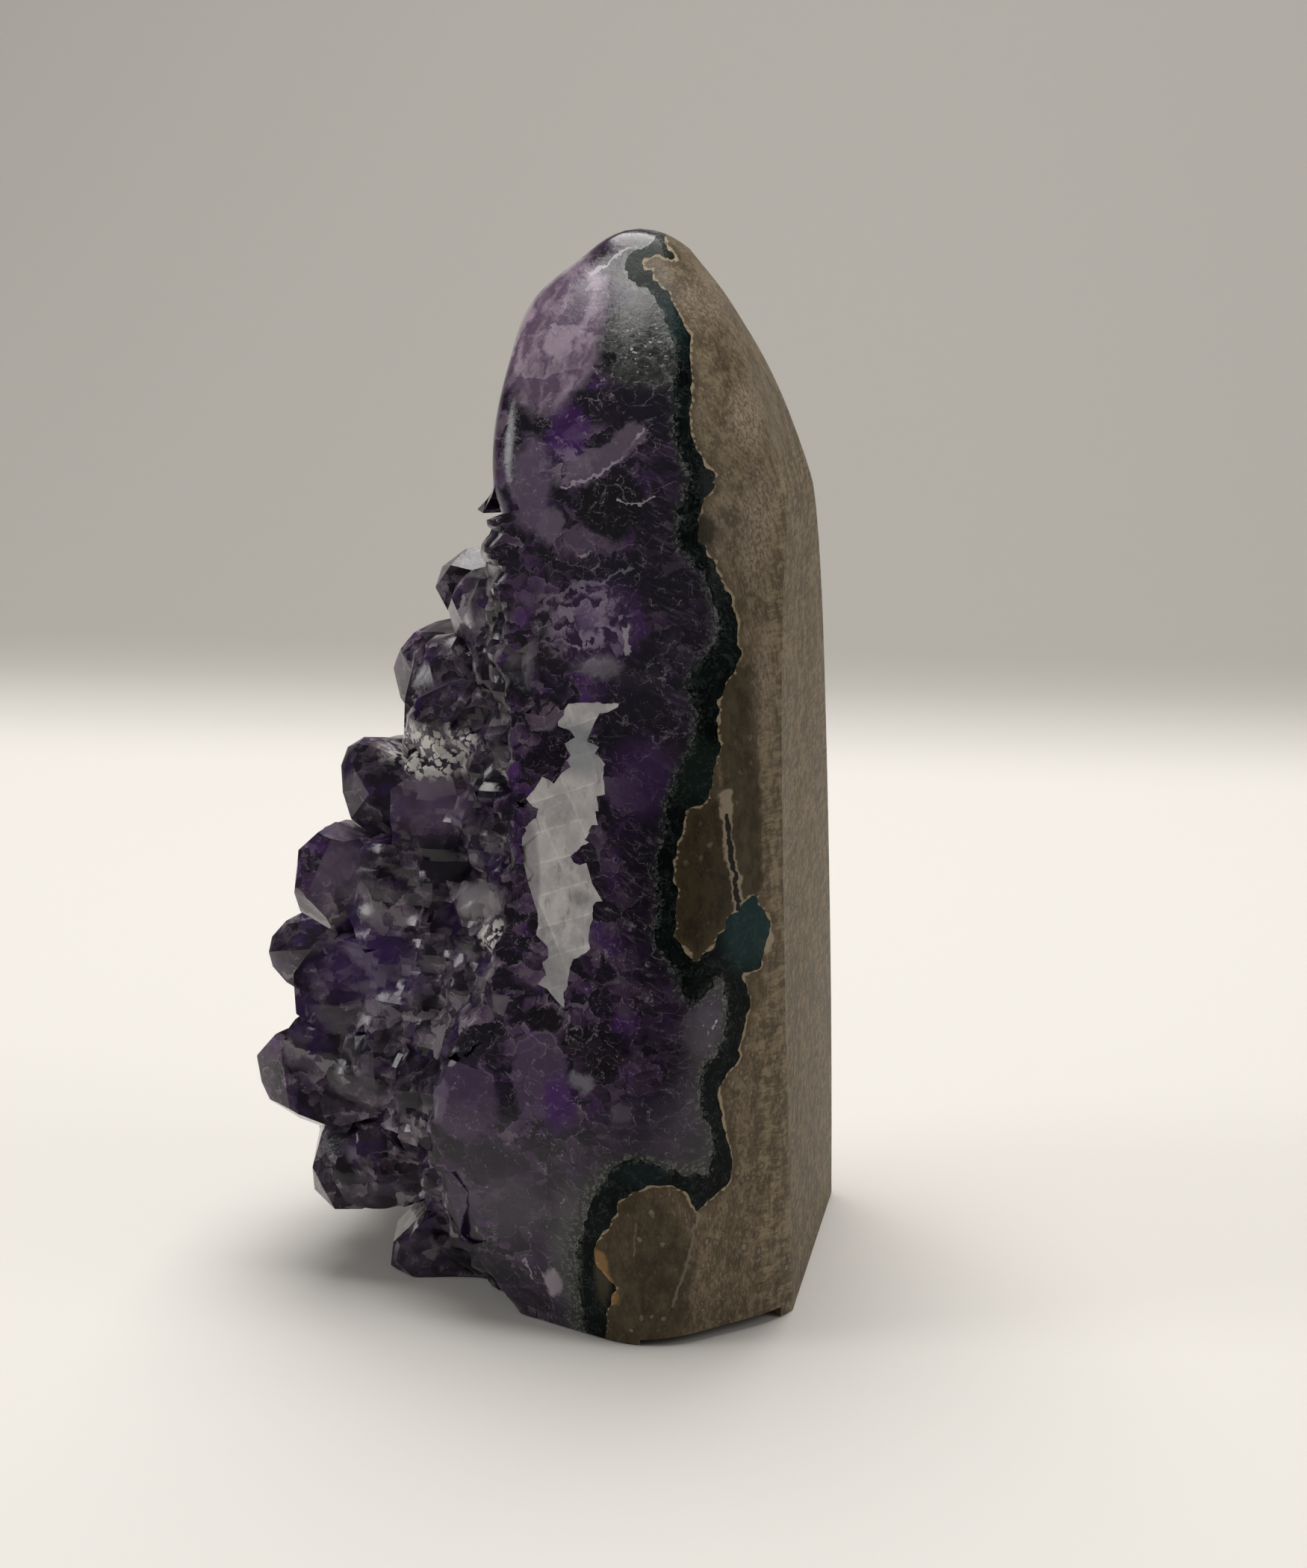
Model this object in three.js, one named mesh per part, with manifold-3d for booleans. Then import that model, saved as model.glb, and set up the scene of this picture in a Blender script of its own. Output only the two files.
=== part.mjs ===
// Amethyst geode piece, sawn flat at the base, ground flat at the back, with polished ends.
//
// Frame, in millimetres: +Z is up and Z = 0 is the sawn base. -Y is the front, where the crystals
// grew. +Y is the ground basalt back. +X is the polished end that cuts through all the layers.
// The dimensions are laid out round the middle of the base, and at the end the whole stone is
// set with the middle of its bounding box over the origin.
// From back to front the layers are basalt, a thin dark green lining, and the amethyst crust,
// with one white calcite crystal caught in the crust at the polished end.
import * as THREE from "three";
import { mergeVertices } from "three/addons/utils/BufferGeometryUtils.js";
import Module from "manifold-3d";

const HEIGHT = 150;          // sawn base to the top of the rounded arch
const GAP = 0.3;             // clearance between layers that touch
const CRYSTAL_SEED = 20;     // the random draws that size and tilt the crystals

// The outline in plan at each height, corner by corner, counter-clockwise seen from above.
// nose and farNose are the ends, rearNear and rearFar the ground back, nearRim and farRim the
// edges where the polished ends meet the crystals, and bulgeNear and bulgeFar the crystal front.
const STATIONS = [
  { z: -2, nose: [47, 18], rearNear: [29, 36], rearFar: [-28, 38], farNose: [-41, 20],
    farRim: [-34, 0], bulgeFar: [-14, -15], bulgeNear: [14, -15], nearRim: [33, -2] },
  { z: 14, nose: [47.5, 18], rearNear: [30, 36], rearFar: [-30, 38], farNose: [-43, 19],
    farRim: [-38, -8], bulgeFar: [-18, -33], bulgeNear: [12, -35], nearRim: [36, -12] },
  { z: 30, nose: [47, 19], rearNear: [30, 36], rearFar: [-31, 38], farNose: [-44, 18],
    farRim: [-39, -13], bulgeFar: [-20, -38], bulgeNear: [10, -40], nearRim: [36, -15] },
  { z: 46, nose: [46, 20], rearNear: [30, 36], rearFar: [-31, 38], farNose: [-43, 17],
    farRim: [-38, -12], bulgeFar: [-19, -39], bulgeNear: [9, -42], nearRim: [35.5, -8] },
  { z: 62, nose: [45, 21], rearNear: [30, 35.5], rearFar: [-31, 37], farNose: [-42, 17],
    farRim: [-36, -8], bulgeFar: [-17, -34], bulgeNear: [8, -36], nearRim: [34.5, -4] },
  { z: 78, nose: [43.5, 21], rearNear: [29, 35.5], rearFar: [-29, 37], farNose: [-40, 17],
    farRim: [-33, -5], bulgeFar: [-15, -25], bulgeNear: [8, -25], nearRim: [33.5, -4] },
  { z: 94, nose: [41, 21], rearNear: [27, 35], rearFar: [-27, 36], farNose: [-37, 17],
    farRim: [-30, -4], bulgeFar: [-12, -15], bulgeNear: [9, -12], nearRim: [31.5, -5] },
  { z: 108, nose: [37, 20.5], rearNear: [24, 33.6], rearFar: [-23, 34.2], farNose: [-32, 16],
    farRim: [-26, -3], bulgeFar: [-10, -9], bulgeNear: [9, -8], nearRim: [28.5, -6] },
  { z: 120, nose: [32, 19], rearNear: [20, 30.6], rearFar: [-18, 31.2], farNose: [-26, 15],
    farRim: [-20, -2], bulgeFar: [-8, -9], bulgeNear: [9, -10], nearRim: [25.5, -7] },
  { z: 131, nose: [25, 17], rearNear: [15, 26.6], rearFar: [-12, 27.2], farNose: [-19, 14],
    farRim: [-14, -1], bulgeFar: [-5, -7], bulgeNear: [8, -8], nearRim: [20, -6] },
  { z: 140, nose: [17, 15.5], rearNear: [10, 21.8], rearFar: [-7, 22.2], farNose: [-12, 13],
    farRim: [-8, 1], bulgeFar: [-2, -4], bulgeNear: [6, -5], nearRim: [13, -3] },
  { z: 147, nose: [9, 13.5], rearNear: [5, 16.6], rearFar: [-2, 17], farNose: [-5, 12],
    farRim: [-3, 6], bulgeFar: [0, 4], bulgeNear: [4, 3], nearRim: [7, 4.5] },
];
const APEX = [2.5, 10, HEIGHT];
const CORNERS = ["nose", "rearNear", "rearFar", "farNose", "farRim", "bulgeFar", "bulgeNear", "nearRim"];
const ROUNDING = { nose: 9, rearNear: 8, rearFar: 9, farNose: 12, farRim: 5, bulgeFar: 14, bulgeNear: 14, nearRim: 4 };
const LEVELS = 17;           // rings from the base to the top
const ARC_STEPS = 2;         // chords in each rounded corner

const FRONT_INSET = 9;       // the bed of the crystals lies this far behind the plan's front
const RIM_INSET = 2.5;       // and this far behind the edges of the polished ends
const FRONT_REACH = 11;      // no crystal reaches further out than this
const RIM_REACH = 9;         // crystals cut by the polished ends reach this far past its edge
const TOP_LEVELS = [0.6, 0.7]; // between these levels the crystals give way to the ground top

// The ground back is one saw plane that leans forward a little towards the top.
const BACK_Y = 35.4;
const BACK_LEAN = THREE.MathUtils.degToRad(1.3);

// Edge of the basalt on the polished end as [y, z], from the base up. It folds back round a
// tongue of basalt that hangs in the lining at half height.
const BASALT_EDGE = [
  [11, -6], [11.5, 4], [12.8, 8.6], [9.9, 11.7], [10.2, 14.5], [12.3, 17.4], [13.5, 20.8], [16.6, 22.9],
  [20.7, 23], [22.3, 21.6], [23.6, 18.4], [28, 21.9], [28.3, 25.2], [26.7, 31.8], [26.4, 35.7],
  [28.7, 39], [30.4, 47.5], [29.2, 51.4], [31.4, 51.2], [33, 57.6], [30.3, 62.5], [27.8, 59.4],
  [25.6, 55.6], [23.1, 53.9], [20.7, 58], [21.2, 63.1], [20.2, 66.7], [22.2, 74.8], [25, 76],
  [26.2, 83.6], [25.6, 88.7], [28.2, 94], [28.1, 99.5], [25, 106.9], [22.7, 109.9], [22.5, 114.3],
  [24.7, 117.6], [22.5, 120.5], [20.7, 125], [20.4, 132.7], [19.8, 136.6], [17.4, 139.5], [14.1, 142.6],
  [13.2, 146.5], [12.8, 156],
];
// Edge of the amethyst against the lining on the same face.
const AMETHYST_EDGE = [
  [7.6, -6], [7.8, 4], [7.2, 12.1], [8.5, 16.9], [10.2, 21.6], [12.9, 25.6], [15.6, 26.9], [19.7, 25.5],
  [22.5, 24.3], [25.4, 24], [26, 29], [24.4, 33], [24.4, 39], [27.2, 42.5], [27.6, 47], [26.4, 52.2],
  [24.9, 49.3], [22.9, 48.2], [20.6, 53.4], [17.8, 57.8], [18.8, 62.2], [17.6, 67.4], [19, 70.2],
  [19.9, 77], [22.6, 83], [23.6, 87.4], [21.8, 91], [22.6, 93.3], [25.6, 96.7], [26, 99.8],
  [24.2, 104.6], [20.2, 109.9], [19.8, 114.6], [21.4, 118.7], [19, 123.2], [18.1, 127.4], [17.6, 135],
  [15.4, 138.6], [12.2, 142.2], [10.9, 146.4], [10.4, 156],
];
const MEAN_Y = 22;           // inside the stone both edges calm down towards this line
const CALM = 0.45;
const SETBACK = 3.2;         // and wander this far towards the front
const LAYER_REACH = 60;      // half length of the cutting bodies along X
const LAYER_STEPS = 6;
const SHARPEST = 0.4;         // limits how far a moved line runs out at a sharp turn

// The calcite crystal's outline on the polished end as [y, z], and how deep it goes in.
const CALCITE_OUTLINE = [
  [4.9, 91.6], [13.7, 92], [10.4, 89.6], [8.6, 85.2], [11.6, 82.6], [12, 78], [10.3, 77.3], [10.6, 75],
  [9.4, 71.8], [6.4, 67], [8.8, 65.4], [11.2, 61.3], [8.4, 58.6], [9.3, 53.9], [5.8, 49], [5, 43.8],
  [0.9, 46.6], [2, 50], [0.4, 54.4], [-2, 64.3], [-2.5, 71.5], [0.6, 73.2], [-1.6, 76.2], [2.6, 79],
  [5.4, 82.4], [6.4, 86.2], [3.8, 88],
];
const CALCITE_CENTRE = [4.5, 68];
const CALCITE_FLOOR_X = 22;
const CALCITE_LENGTH = 30;
const CALCITE_TAPER = 0.72;

// Crystals: six-sided prisms with six-faced points, in rows over the front.
const ROW_PITCH = 12.5;
const FIRST_ROW = 5;
const LAST_ROW = 118;
const CRYSTAL_PITCH = 13.2;
const CRYSTAL_RADIUS = [6.4, 9.8];
const CRYSTAL_RISE = [1.5, 6.5];
const ROOT_DEPTH = 9;
const POINT_SLOPE = 1.05;    // height of a crystal's point for each millimetre of its radius
const LEAN = 0.42;

// The broken lower edge of the ground corner.
const UNDERCUT = { size: [23, 9, 2.4], at: [38.6, 26.4, 0], turn: [0.08, -0.05, 2.27] };

const wasm = await Module();
wasm.setup();

function toSolid(geometry) {
  const bare = geometry.clone();
  bare.deleteAttribute("normal");
  bare.deleteAttribute("uv");
  const merged = mergeVertices(bare, 1e-4);
  return new wasm.Manifold(new wasm.Mesh({
    numProp: 3,
    vertProperties: new Float32Array(merged.attributes.position.array),
    triVerts: new Uint32Array(merged.index.array),
  }));
}

function toGeometry(solid) {
  const mesh = solid.getMesh();
  const geometry = new THREE.BufferGeometry();
  geometry.setAttribute("position", new THREE.BufferAttribute(mesh.vertProperties, 3));
  geometry.setIndex(new THREE.BufferAttribute(mesh.triVerts, 1));
  geometry.computeVertexNormals();
  return geometry;
}

function seededRandom(seed) {
  let state = seed;
  return () => {
    state = (state + 0x6d2b79f5) | 0;
    let t = Math.imul(state ^ (state >>> 15), 1 | state);
    t = (t + Math.imul(t ^ (t >>> 7), 61 | t)) ^ t;
    return ((t ^ (t >>> 14)) >>> 0) / 4294967296;
  };
}

// One corner's path up the stone, smooth through all the stations.
const cornerPaths = Object.fromEntries(CORNERS.map((name) => [
  name,
  new THREE.CatmullRomCurve3(STATIONS.map((s) => new THREE.Vector3(...s[name], s.z))),
]));

// The eight corners at a level from 0 to 1. Reach moves the crystal front out from the plan.
function cornersAt(level, reach, rimReach) {
  const at = Object.fromEntries(CORNERS.map((name) => [name, cornerPaths[name].getPoint(level)]));
  const fade = 1 - THREE.MathUtils.smoothstep(level, ...TOP_LEVELS);
  at.bulgeNear.y -= reach * fade;
  at.bulgeFar.y -= reach * fade;
  for (const [rim, nose] of [["nearRim", "nose"], ["farRim", "farNose"]]) {
    const along = at[rim].clone().sub(at[nose]).setZ(0).normalize();
    at[rim].addScaledVector(along, rimReach * fade);
  }
  return at;
}

function roundedRing(at) {
  const ring = [];
  CORNERS.forEach((name, i) => {
    const corner = at[name];
    const before = at[CORNERS[(i + CORNERS.length - 1) % CORNERS.length]];
    const after = at[CORNERS[(i + 1) % CORNERS.length]];
    const cut = (other) => Math.min(ROUNDING[name], 0.42 * corner.distanceTo(other));
    const start = corner.clone().lerp(before, cut(before) / corner.distanceTo(before));
    const end = corner.clone().lerp(after, cut(after) / corner.distanceTo(after));
    const arc = new THREE.QuadraticBezierCurve3(start, corner, end);
    ring.push(...arc.getPoints(ARC_STEPS));
  });
  return ring;
}

// A closed body through the rings, with a fan at the base and another at the apex.
function loft(reach, rimReach) {
  const rings = [];
  for (let i = 0; i <= LEVELS; i++) rings.push(roundedRing(cornersAt(i / LEVELS, reach, rimReach)));
  const around = rings[0].length;
  const vertices = rings.flat();
  const foot = vertices.push(rings[0].reduce((sum, p) => sum.add(p), new THREE.Vector3()).divideScalar(around)) - 1;
  const apex = vertices.push(new THREE.Vector3(...APEX)) - 1;
  const index = [];
  for (let j = 0; j < around; j++) {
    const k = (j + 1) % around;
    index.push(foot, k, j);
    for (let i = 0; i < LEVELS; i++) {
      const [a, b] = [i * around + j, i * around + k];
      index.push(a, b, b + around, a, b + around, a + around);
    }
    index.push(LEVELS * around + j, LEVELS * around + k, apex);
  }
  const geometry = new THREE.BufferGeometry().setFromPoints(vertices);
  geometry.setIndex(index);
  return toSolid(geometry);
}

function block(size, at, turn) {
  const geometry = new THREE.BoxGeometry(...size);
  geometry.applyMatrix4(new THREE.Matrix4().makeRotationFromEuler(new THREE.Euler(...turn)));
  geometry.translate(...at);
  return toSolid(geometry);
}

// Everything in front of the ground back and above the sawn base, less the broken edge.
function trimmed(solid) {
  const big = 400;
  const base = block([big, big, big], [0, 0, -big / 2], [0, 0, 0]);
  const backCentre = [0, BACK_Y + (big / 2) * Math.cos(BACK_LEAN), (big / 2) * Math.sin(BACK_LEAN)];
  const back = block([big, big, big], backCentre, [BACK_LEAN, 0, 0]);
  const undercut = block(UNDERCUT.size, UNDERCUT.at, UNDERCUT.turn);
  return solid.subtract(base).subtract(back).subtract(undercut);
}

// How a layer's edge wanders away from its outline as it goes in from the polished end.
function wander(point) {
  const inside = THREE.MathUtils.smoothstep(34 - point.x, 0, 34);
  point.y += inside * CALM * (MEAN_Y - point.y);
  point.y -= inside * SETBACK * (0.6 + 0.4 * Math.sin(point.z / 17 + point.x / 13));
  return point;
}

// Moves a line sideways: towards +Y where it climbs. A closed line starts again at its end.
function offsetLine(line, distance, closed = false) {
  const points = line.map(([y, z]) => new THREE.Vector2(y, z));
  const last = points.length - 1;
  const sideOf = (from, to) => {
    const along = to.clone().sub(from).normalize();
    return new THREE.Vector2(along.y, -along.x);
  };
  return points.map((point, i) => {
    const before = points[i > 0 ? i - 1 : last];
    const after = points[i < last ? i + 1 : 0];
    const first = i > 0 || closed ? sideOf(before, point) : sideOf(point, after);
    const second = i < last || closed ? sideOf(point, after) : first;
    const mitre = first.clone().add(second).normalize();
    const moved = point.clone().addScaledVector(mitre, distance / Math.max(SHARPEST, mitre.dot(first)));
    return [moved.x, moved.y];
  });
}

// A body along X whose section is the given [y, z] outline.
function bodyAlongX(outline, fromX, toX, steps) {
  const shape = new THREE.Shape(outline.map(([y, z]) => new THREE.Vector2(y, z)));
  const geometry = new THREE.ExtrudeGeometry(shape, { depth: toX - fromX, steps, bevelEnabled: false });
  const axes = new THREE.Matrix4().makeBasis(
    new THREE.Vector3(0, 1, 0), new THREE.Vector3(0, 0, 1), new THREE.Vector3(1, 0, 0));
  geometry.applyMatrix4(axes);
  geometry.translate(fromX, 0, 0);
  return geometry;
}

function moveVertices(geometry, move) {
  const position = geometry.attributes.position;
  const point = new THREE.Vector3();
  for (let i = 0; i < position.count; i++) {
    point.fromBufferAttribute(position, i);
    move(point);
    position.setXYZ(i, point.x, point.y, point.z);
  }
  return geometry;
}

// The space behind a line, out past the back of the stone.
function behind(line) {
  const outline = [...line, [70, line.at(-1)[1]], [70, line[0][1]]];
  const body = bodyAlongX(outline, -LAYER_REACH, LAYER_REACH, LAYER_STEPS);
  return toSolid(moveVertices(body, (point) => (point.y < 69 ? wander(point) : point)));
}

function calciteBody(grow) {
  const [centreY, centreZ] = CALCITE_CENTRE;
  const outline = offsetLine(CALCITE_OUTLINE, -grow, true);
  const floor = CALCITE_FLOOR_X - grow;
  const body = bodyAlongX(outline, floor, floor + CALCITE_LENGTH, 2);
  return toSolid(moveVertices(body, (point) => {
    const scale = point.x < floor + 1 ? CALCITE_TAPER : 1;
    point.y = centreY + (point.y - centreY) * scale;
    point.z = centreZ + (point.z - centreZ) * scale;
  }));
}

// A crystal standing on the origin along +Z, its point a little off centre as real ones are.
function crystalGeometry(radius, shaft, skew) {
  const profile = [[0, 0], [radius, 0], [radius, shaft], [0, shaft + radius * POINT_SLOPE]];
  const geometry = new THREE.LatheGeometry(profile.map((p) => new THREE.Vector2(...p)), 6);
  geometry.rotateX(Math.PI / 2);
  return moveVertices(geometry, (point) => {
    if (point.z <= shaft + 0.01) return;
    point.x += skew.x;
    point.y += skew.y;
  });
}

// A point of the crystal bed: share runs from the near rim, 0, to the far rim, 1.
function bedPoint(share, level) {
  const at = cornersAt(level, -FRONT_INSET, -RIM_INSET);
  const path = new THREE.CatmullRomCurve3([at.nearRim, at.bulgeNear, at.bulgeFar, at.farRim]);
  return path.getPointAt(share);
}

function crystals() {
  const random = seededRandom(CRYSTAL_SEED);
  const between = ([low, high]) => low + (high - low) * random();
  const up = new THREE.Vector3(0, 0, 1);
  const solids = [];
  let row = 0;
  for (let z = FIRST_ROW; z <= LAST_ROW; z += ROW_PITCH) {
    const level = levelOf(z);
    const width = bedPoint(0, level).distanceTo(bedPoint(0.5, level)) + bedPoint(0.5, level).distanceTo(bedPoint(1, level));
    const count = Math.max(2, Math.round(width / CRYSTAL_PITCH));
    for (let i = 0; i <= count; i++) {
      const share = THREE.MathUtils.clamp((i + 0.5 * (row % 2) + 0.5 * (random() - 0.5)) / count, 0, 1);
      const here = bedPoint(share, level);
      const sideways = bedPoint(Math.min(1, share + 0.03), level).sub(bedPoint(Math.max(0, share - 0.03), level));
      const upward = bedPoint(share, Math.min(1, level + 0.03)).sub(bedPoint(share, Math.max(0, level - 0.03)));
      const outward = upward.cross(sideways).normalize();
      const tilt = new THREE.Vector3(random() - 0.5, random() - 0.5, random() - 0.5).multiplyScalar(2 * LEAN);
      const direction = outward.clone().add(tilt).normalize();
      const size = Math.min(1, 0.55 + (1 - level) * 0.9);
      const radius = between(CRYSTAL_RADIUS) * size;
      const shaft = ROOT_DEPTH + between(CRYSTAL_RISE) * size;
      const skew = new THREE.Vector2(random() - 0.5, random() - 0.5).multiplyScalar(0.7 * radius);
      const geometry = crystalGeometry(radius, shaft, skew);
      geometry.rotateZ(random() * Math.PI);
      geometry.applyQuaternion(new THREE.Quaternion().setFromUnitVectors(up, direction));
      const foot = here.addScaledVector(direction, -ROOT_DEPTH);
      geometry.translate(foot.x, foot.y, foot.z);
      solids.push(toSolid(geometry));
    }
    row += 1;
  }
  return solids;
}

// The level, from 0 to 1, at which the corner paths reach a height.
function levelOf(height) {
  let [low, high] = [0, 1];
  for (let i = 0; i < 30; i++) {
    const middle = (low + high) / 2;
    if (cornerPaths.nose.getPoint(middle).z < height) low = middle;
    else high = middle;
  }
  return low;
}

// The outer skin alone: gaps that crystals close off between their roots are filled, and
// loose crumbs go.
function largestSkin(solid) {
  const mesh = solid.getMesh();
  const owner = Array.from({ length: mesh.vertProperties.length / 3 }, (_, i) => i);
  const find = (i) => {
    while (owner[i] !== i) i = owner[i] = owner[owner[i]];
    return i;
  };
  for (let t = 0; t < mesh.triVerts.length; t += 3) {
    const root = find(mesh.triVerts[t]);
    owner[find(mesh.triVerts[t + 1])] = root;
    owner[find(mesh.triVerts[t + 2])] = root;
  }
  const skins = new Map();
  const corner = (i) => new THREE.Vector3().fromArray(mesh.vertProperties, 3 * i);
  for (let t = 0; t < mesh.triVerts.length; t += 3) {
    const [i, j, k] = mesh.triVerts.subarray(t, t + 3);
    const skin = skins.get(find(i)) ?? { volume: 0, triVerts: [] };
    skin.volume += corner(i).dot(corner(j).cross(corner(k))) / 6;
    skin.triVerts.push(i, j, k);
    skins.set(find(i), skin);
  }
  const largest = [...skins.values()].reduce((a, b) => (b.volume > a.volume ? b : a));
  return new wasm.Manifold(new wasm.Mesh({
    numProp: 3,
    vertProperties: mesh.vertProperties,
    triVerts: new Uint32Array(largest.triVerts),
  }));
}

const bed = loft(-FRONT_INSET, -RIM_INSET);
const limit = loft(FRONT_REACH, RIM_REACH);
const grown = largestSkin(crystals().reduce((all, one) => all.add(one), bed));
const stone = trimmed(grown.intersect(limit));

const lining = behind(offsetLine(AMETHYST_EDGE, GAP / 2));
const basalt = stone.intersect(behind(offsetLine(BASALT_EDGE, GAP / 2)));
const band = stone.intersect(lining).subtract(behind(offsetLine(BASALT_EDGE, -GAP / 2)));
const calcite = stone.intersect(calciteBody(0));
const amethyst = stone.subtract(behind(offsetLine(AMETHYST_EDGE, -GAP / 2))).subtract(calciteBody(GAP));

function piece(name, solid, color, roughness) {
  const material = new THREE.MeshStandardMaterial({ color, roughness, metalness: 0 });
  const mesh = new THREE.Mesh(toGeometry(largestSkin(solid)), material);
  mesh.name = name;
  return mesh;
}

const geode = new THREE.Group();
geode.add(
  piece("basalt_matrix", basalt, 0x75695a, 0.7),
  piece("celadonite_lining", band, 0x16201f, 0.25),
  piece("amethyst_crust", amethyst, 0x4b3066, 0.12),
  piece("calcite_crystal", calcite, 0xa8a4a4, 0.3),
);
const box = new THREE.Box3().setFromObject(geode);
geode.position.set(-(box.min.x + box.max.x) / 2, -(box.min.y + box.max.y) / 2, 0);

export default geode;
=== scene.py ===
# %% [markdown]
# # An amethyst geode piece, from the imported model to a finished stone
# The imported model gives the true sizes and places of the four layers: basalt, a dark lining,
# the amethyst crust and one calcite crystal. Its facets are coarse on purpose. This lesson
# grows each layer again at a fine scale, in the same place, and then gives each its finish.
# Lengths in the code are millimetres, because a stone this size is measured in them, and the
# meshes are turned into metres when they become Blender objects.

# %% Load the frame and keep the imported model's box
import math

import bmesh
import bpy
import numpy as np
from mathutils import Matrix, Vector, noise
from mathutils.bvhtree import BVHTree


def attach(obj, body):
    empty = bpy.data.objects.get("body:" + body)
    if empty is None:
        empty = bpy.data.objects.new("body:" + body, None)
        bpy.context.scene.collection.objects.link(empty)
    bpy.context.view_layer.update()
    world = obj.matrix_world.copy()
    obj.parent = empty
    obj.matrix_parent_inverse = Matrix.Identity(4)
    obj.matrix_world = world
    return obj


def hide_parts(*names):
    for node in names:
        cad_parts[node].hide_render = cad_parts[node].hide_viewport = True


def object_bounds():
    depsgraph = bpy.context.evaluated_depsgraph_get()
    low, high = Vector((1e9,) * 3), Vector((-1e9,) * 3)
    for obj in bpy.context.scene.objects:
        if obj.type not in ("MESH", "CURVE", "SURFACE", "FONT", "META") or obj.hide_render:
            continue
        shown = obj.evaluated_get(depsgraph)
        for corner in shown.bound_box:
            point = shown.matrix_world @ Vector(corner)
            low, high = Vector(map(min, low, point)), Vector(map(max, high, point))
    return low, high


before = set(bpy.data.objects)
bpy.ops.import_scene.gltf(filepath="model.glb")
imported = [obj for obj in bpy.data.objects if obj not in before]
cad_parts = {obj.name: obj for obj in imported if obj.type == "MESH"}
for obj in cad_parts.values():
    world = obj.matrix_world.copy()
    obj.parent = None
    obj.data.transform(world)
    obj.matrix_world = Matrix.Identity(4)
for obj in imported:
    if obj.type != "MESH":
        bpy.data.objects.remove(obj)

cad_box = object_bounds()
MM = 0.001
print("packed model spans", [round(v, 4) for v in cad_box[0]], [round(v, 4) for v in cad_box[1]])

# %% [markdown]
# ## The stone's outline
# On the real piece a saw made the base and the back, a belt sander rounded the ends and the top,
# and the front was left as it grew. So the outline is eight corners in plan, followed up the
# height. A modelled box with a subdivision surface would give a pebble. Named corners keep the
# flats flat and the rounded edges where a hand would feel them.

# %% Corners in plan at each height
CORNERS = ("nose", "rear_near", "rear_far", "far_nose", "far_rim", "bulge_far", "bulge_near", "near_rim")
ROUNDING = (9, 8, 9, 12, 5, 14, 14, 4)
STATIONS = [
    (-2, (47, 18), (29, 36), (-28, 38), (-41, 20), (-34, 0), (-14, -15), (14, -15), (33, -2)),
    (14, (47.5, 18), (30, 36), (-30, 38), (-43, 19), (-38, -8), (-18, -33), (12, -35), (36, -12)),
    (30, (47, 19), (30, 36), (-31, 38), (-44, 18), (-39, -13), (-20, -38), (10, -40), (36, -15)),
    (46, (46, 20), (30, 36), (-31, 38), (-43, 17), (-38, -12), (-19, -39), (9, -42), (35.5, -8)),
    (62, (45, 21), (30, 35.5), (-31, 37), (-42, 17), (-36, -8), (-17, -34), (8, -36), (34.5, -4)),
    (78, (43.5, 21), (29, 35.5), (-29, 37), (-40, 17), (-33, -5), (-15, -25), (8, -25), (33.5, -4)),
    (94, (41, 21), (27, 35), (-27, 36), (-37, 17), (-30, -4), (-12, -15), (9, -12), (31.5, -5)),
    (108, (37, 20.5), (24, 33.6), (-23, 34.2), (-32, 16), (-26, -3), (-10, -9), (9, -8), (28.5, -6)),
    (120, (32, 19), (20, 30.6), (-18, 31.2), (-26, 15), (-20, -2), (-8, -9), (9, -10), (25.5, -7)),
    (131, (25, 17), (15, 26.6), (-12, 27.2), (-19, 14), (-14, -1), (-5, -7), (8, -8), (20, -6)),
    (140, (17, 15.5), (10, 21.8), (-7, 22.2), (-12, 13), (-8, 1), (-2, -4), (6, -5), (13, -3)),
    (147, (9, 13.5), (5, 16.6), (-2, 17), (-5, 12), (-3, 6), (0, 4), (4, 3), (7, 4.5)),
]
APEX = (2.5, 10, 150)
BACK_Y = 35.4                      # where the sawn back meets the base
BACK_LEAN = math.radians(1.3)
NOSE_REACH = 45.1                  # how far the rounded nose reaches along X

# The plan is laid out round the base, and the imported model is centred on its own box.
SHIFT = Vector((cad_box[1][0] / MM - NOSE_REACH, cad_box[1][1] / MM - BACK_Y, 0))
print("plan is moved by", [round(v, 2) for v in SHIFT])


# %% A smooth path through points, as an even-handed spline
def spline_point(points, t):
    """The point at t, 0 to 1, on a centripetal spline through the points."""
    points = np.asarray(points, float)
    last = len(points) - 1
    i = min(int(t * last), last - 1)
    u = t * last - i
    p1, p2 = points[i], points[i + 1]
    p0 = points[i - 1] if i > 0 else 2 * points[0] - points[1]
    p3 = points[i + 2] if i + 2 <= last else 2 * points[last] - points[last - 1]
    d0, d1, d2 = (max(1e-4, np.sum((b - a) ** 2) ** 0.25) for a, b in ((p0, p1), (p1, p2), (p2, p3)))
    m1 = ((p1 - p0) / d0 - (p2 - p0) / (d0 + d1) + (p2 - p1) / d1) * d1
    m2 = ((p2 - p1) / d1 - (p3 - p1) / (d1 + d2) + (p3 - p2) / d2) * d1
    c2 = -3 * p1 + 3 * p2 - 2 * m1 - m2
    c3 = 2 * p1 - 2 * p2 + m1 + m2
    return p1 + u * (m1 + u * (c2 + u * c3))


TOP_LEVELS = (0.6, 0.7)            # between these the crystals give way to the ground top
FRONT_INSET, RIM_INSET = 9, 2.5    # how far the crystals' bed lies behind the outline
FRONT_REACH, RIM_REACH = 11, 9     # and how far out of it a crystal may reach
CORNER_PATHS = [[(*station[1 + i], station[0]) for station in STATIONS] for i in range(len(CORNERS))]


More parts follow.
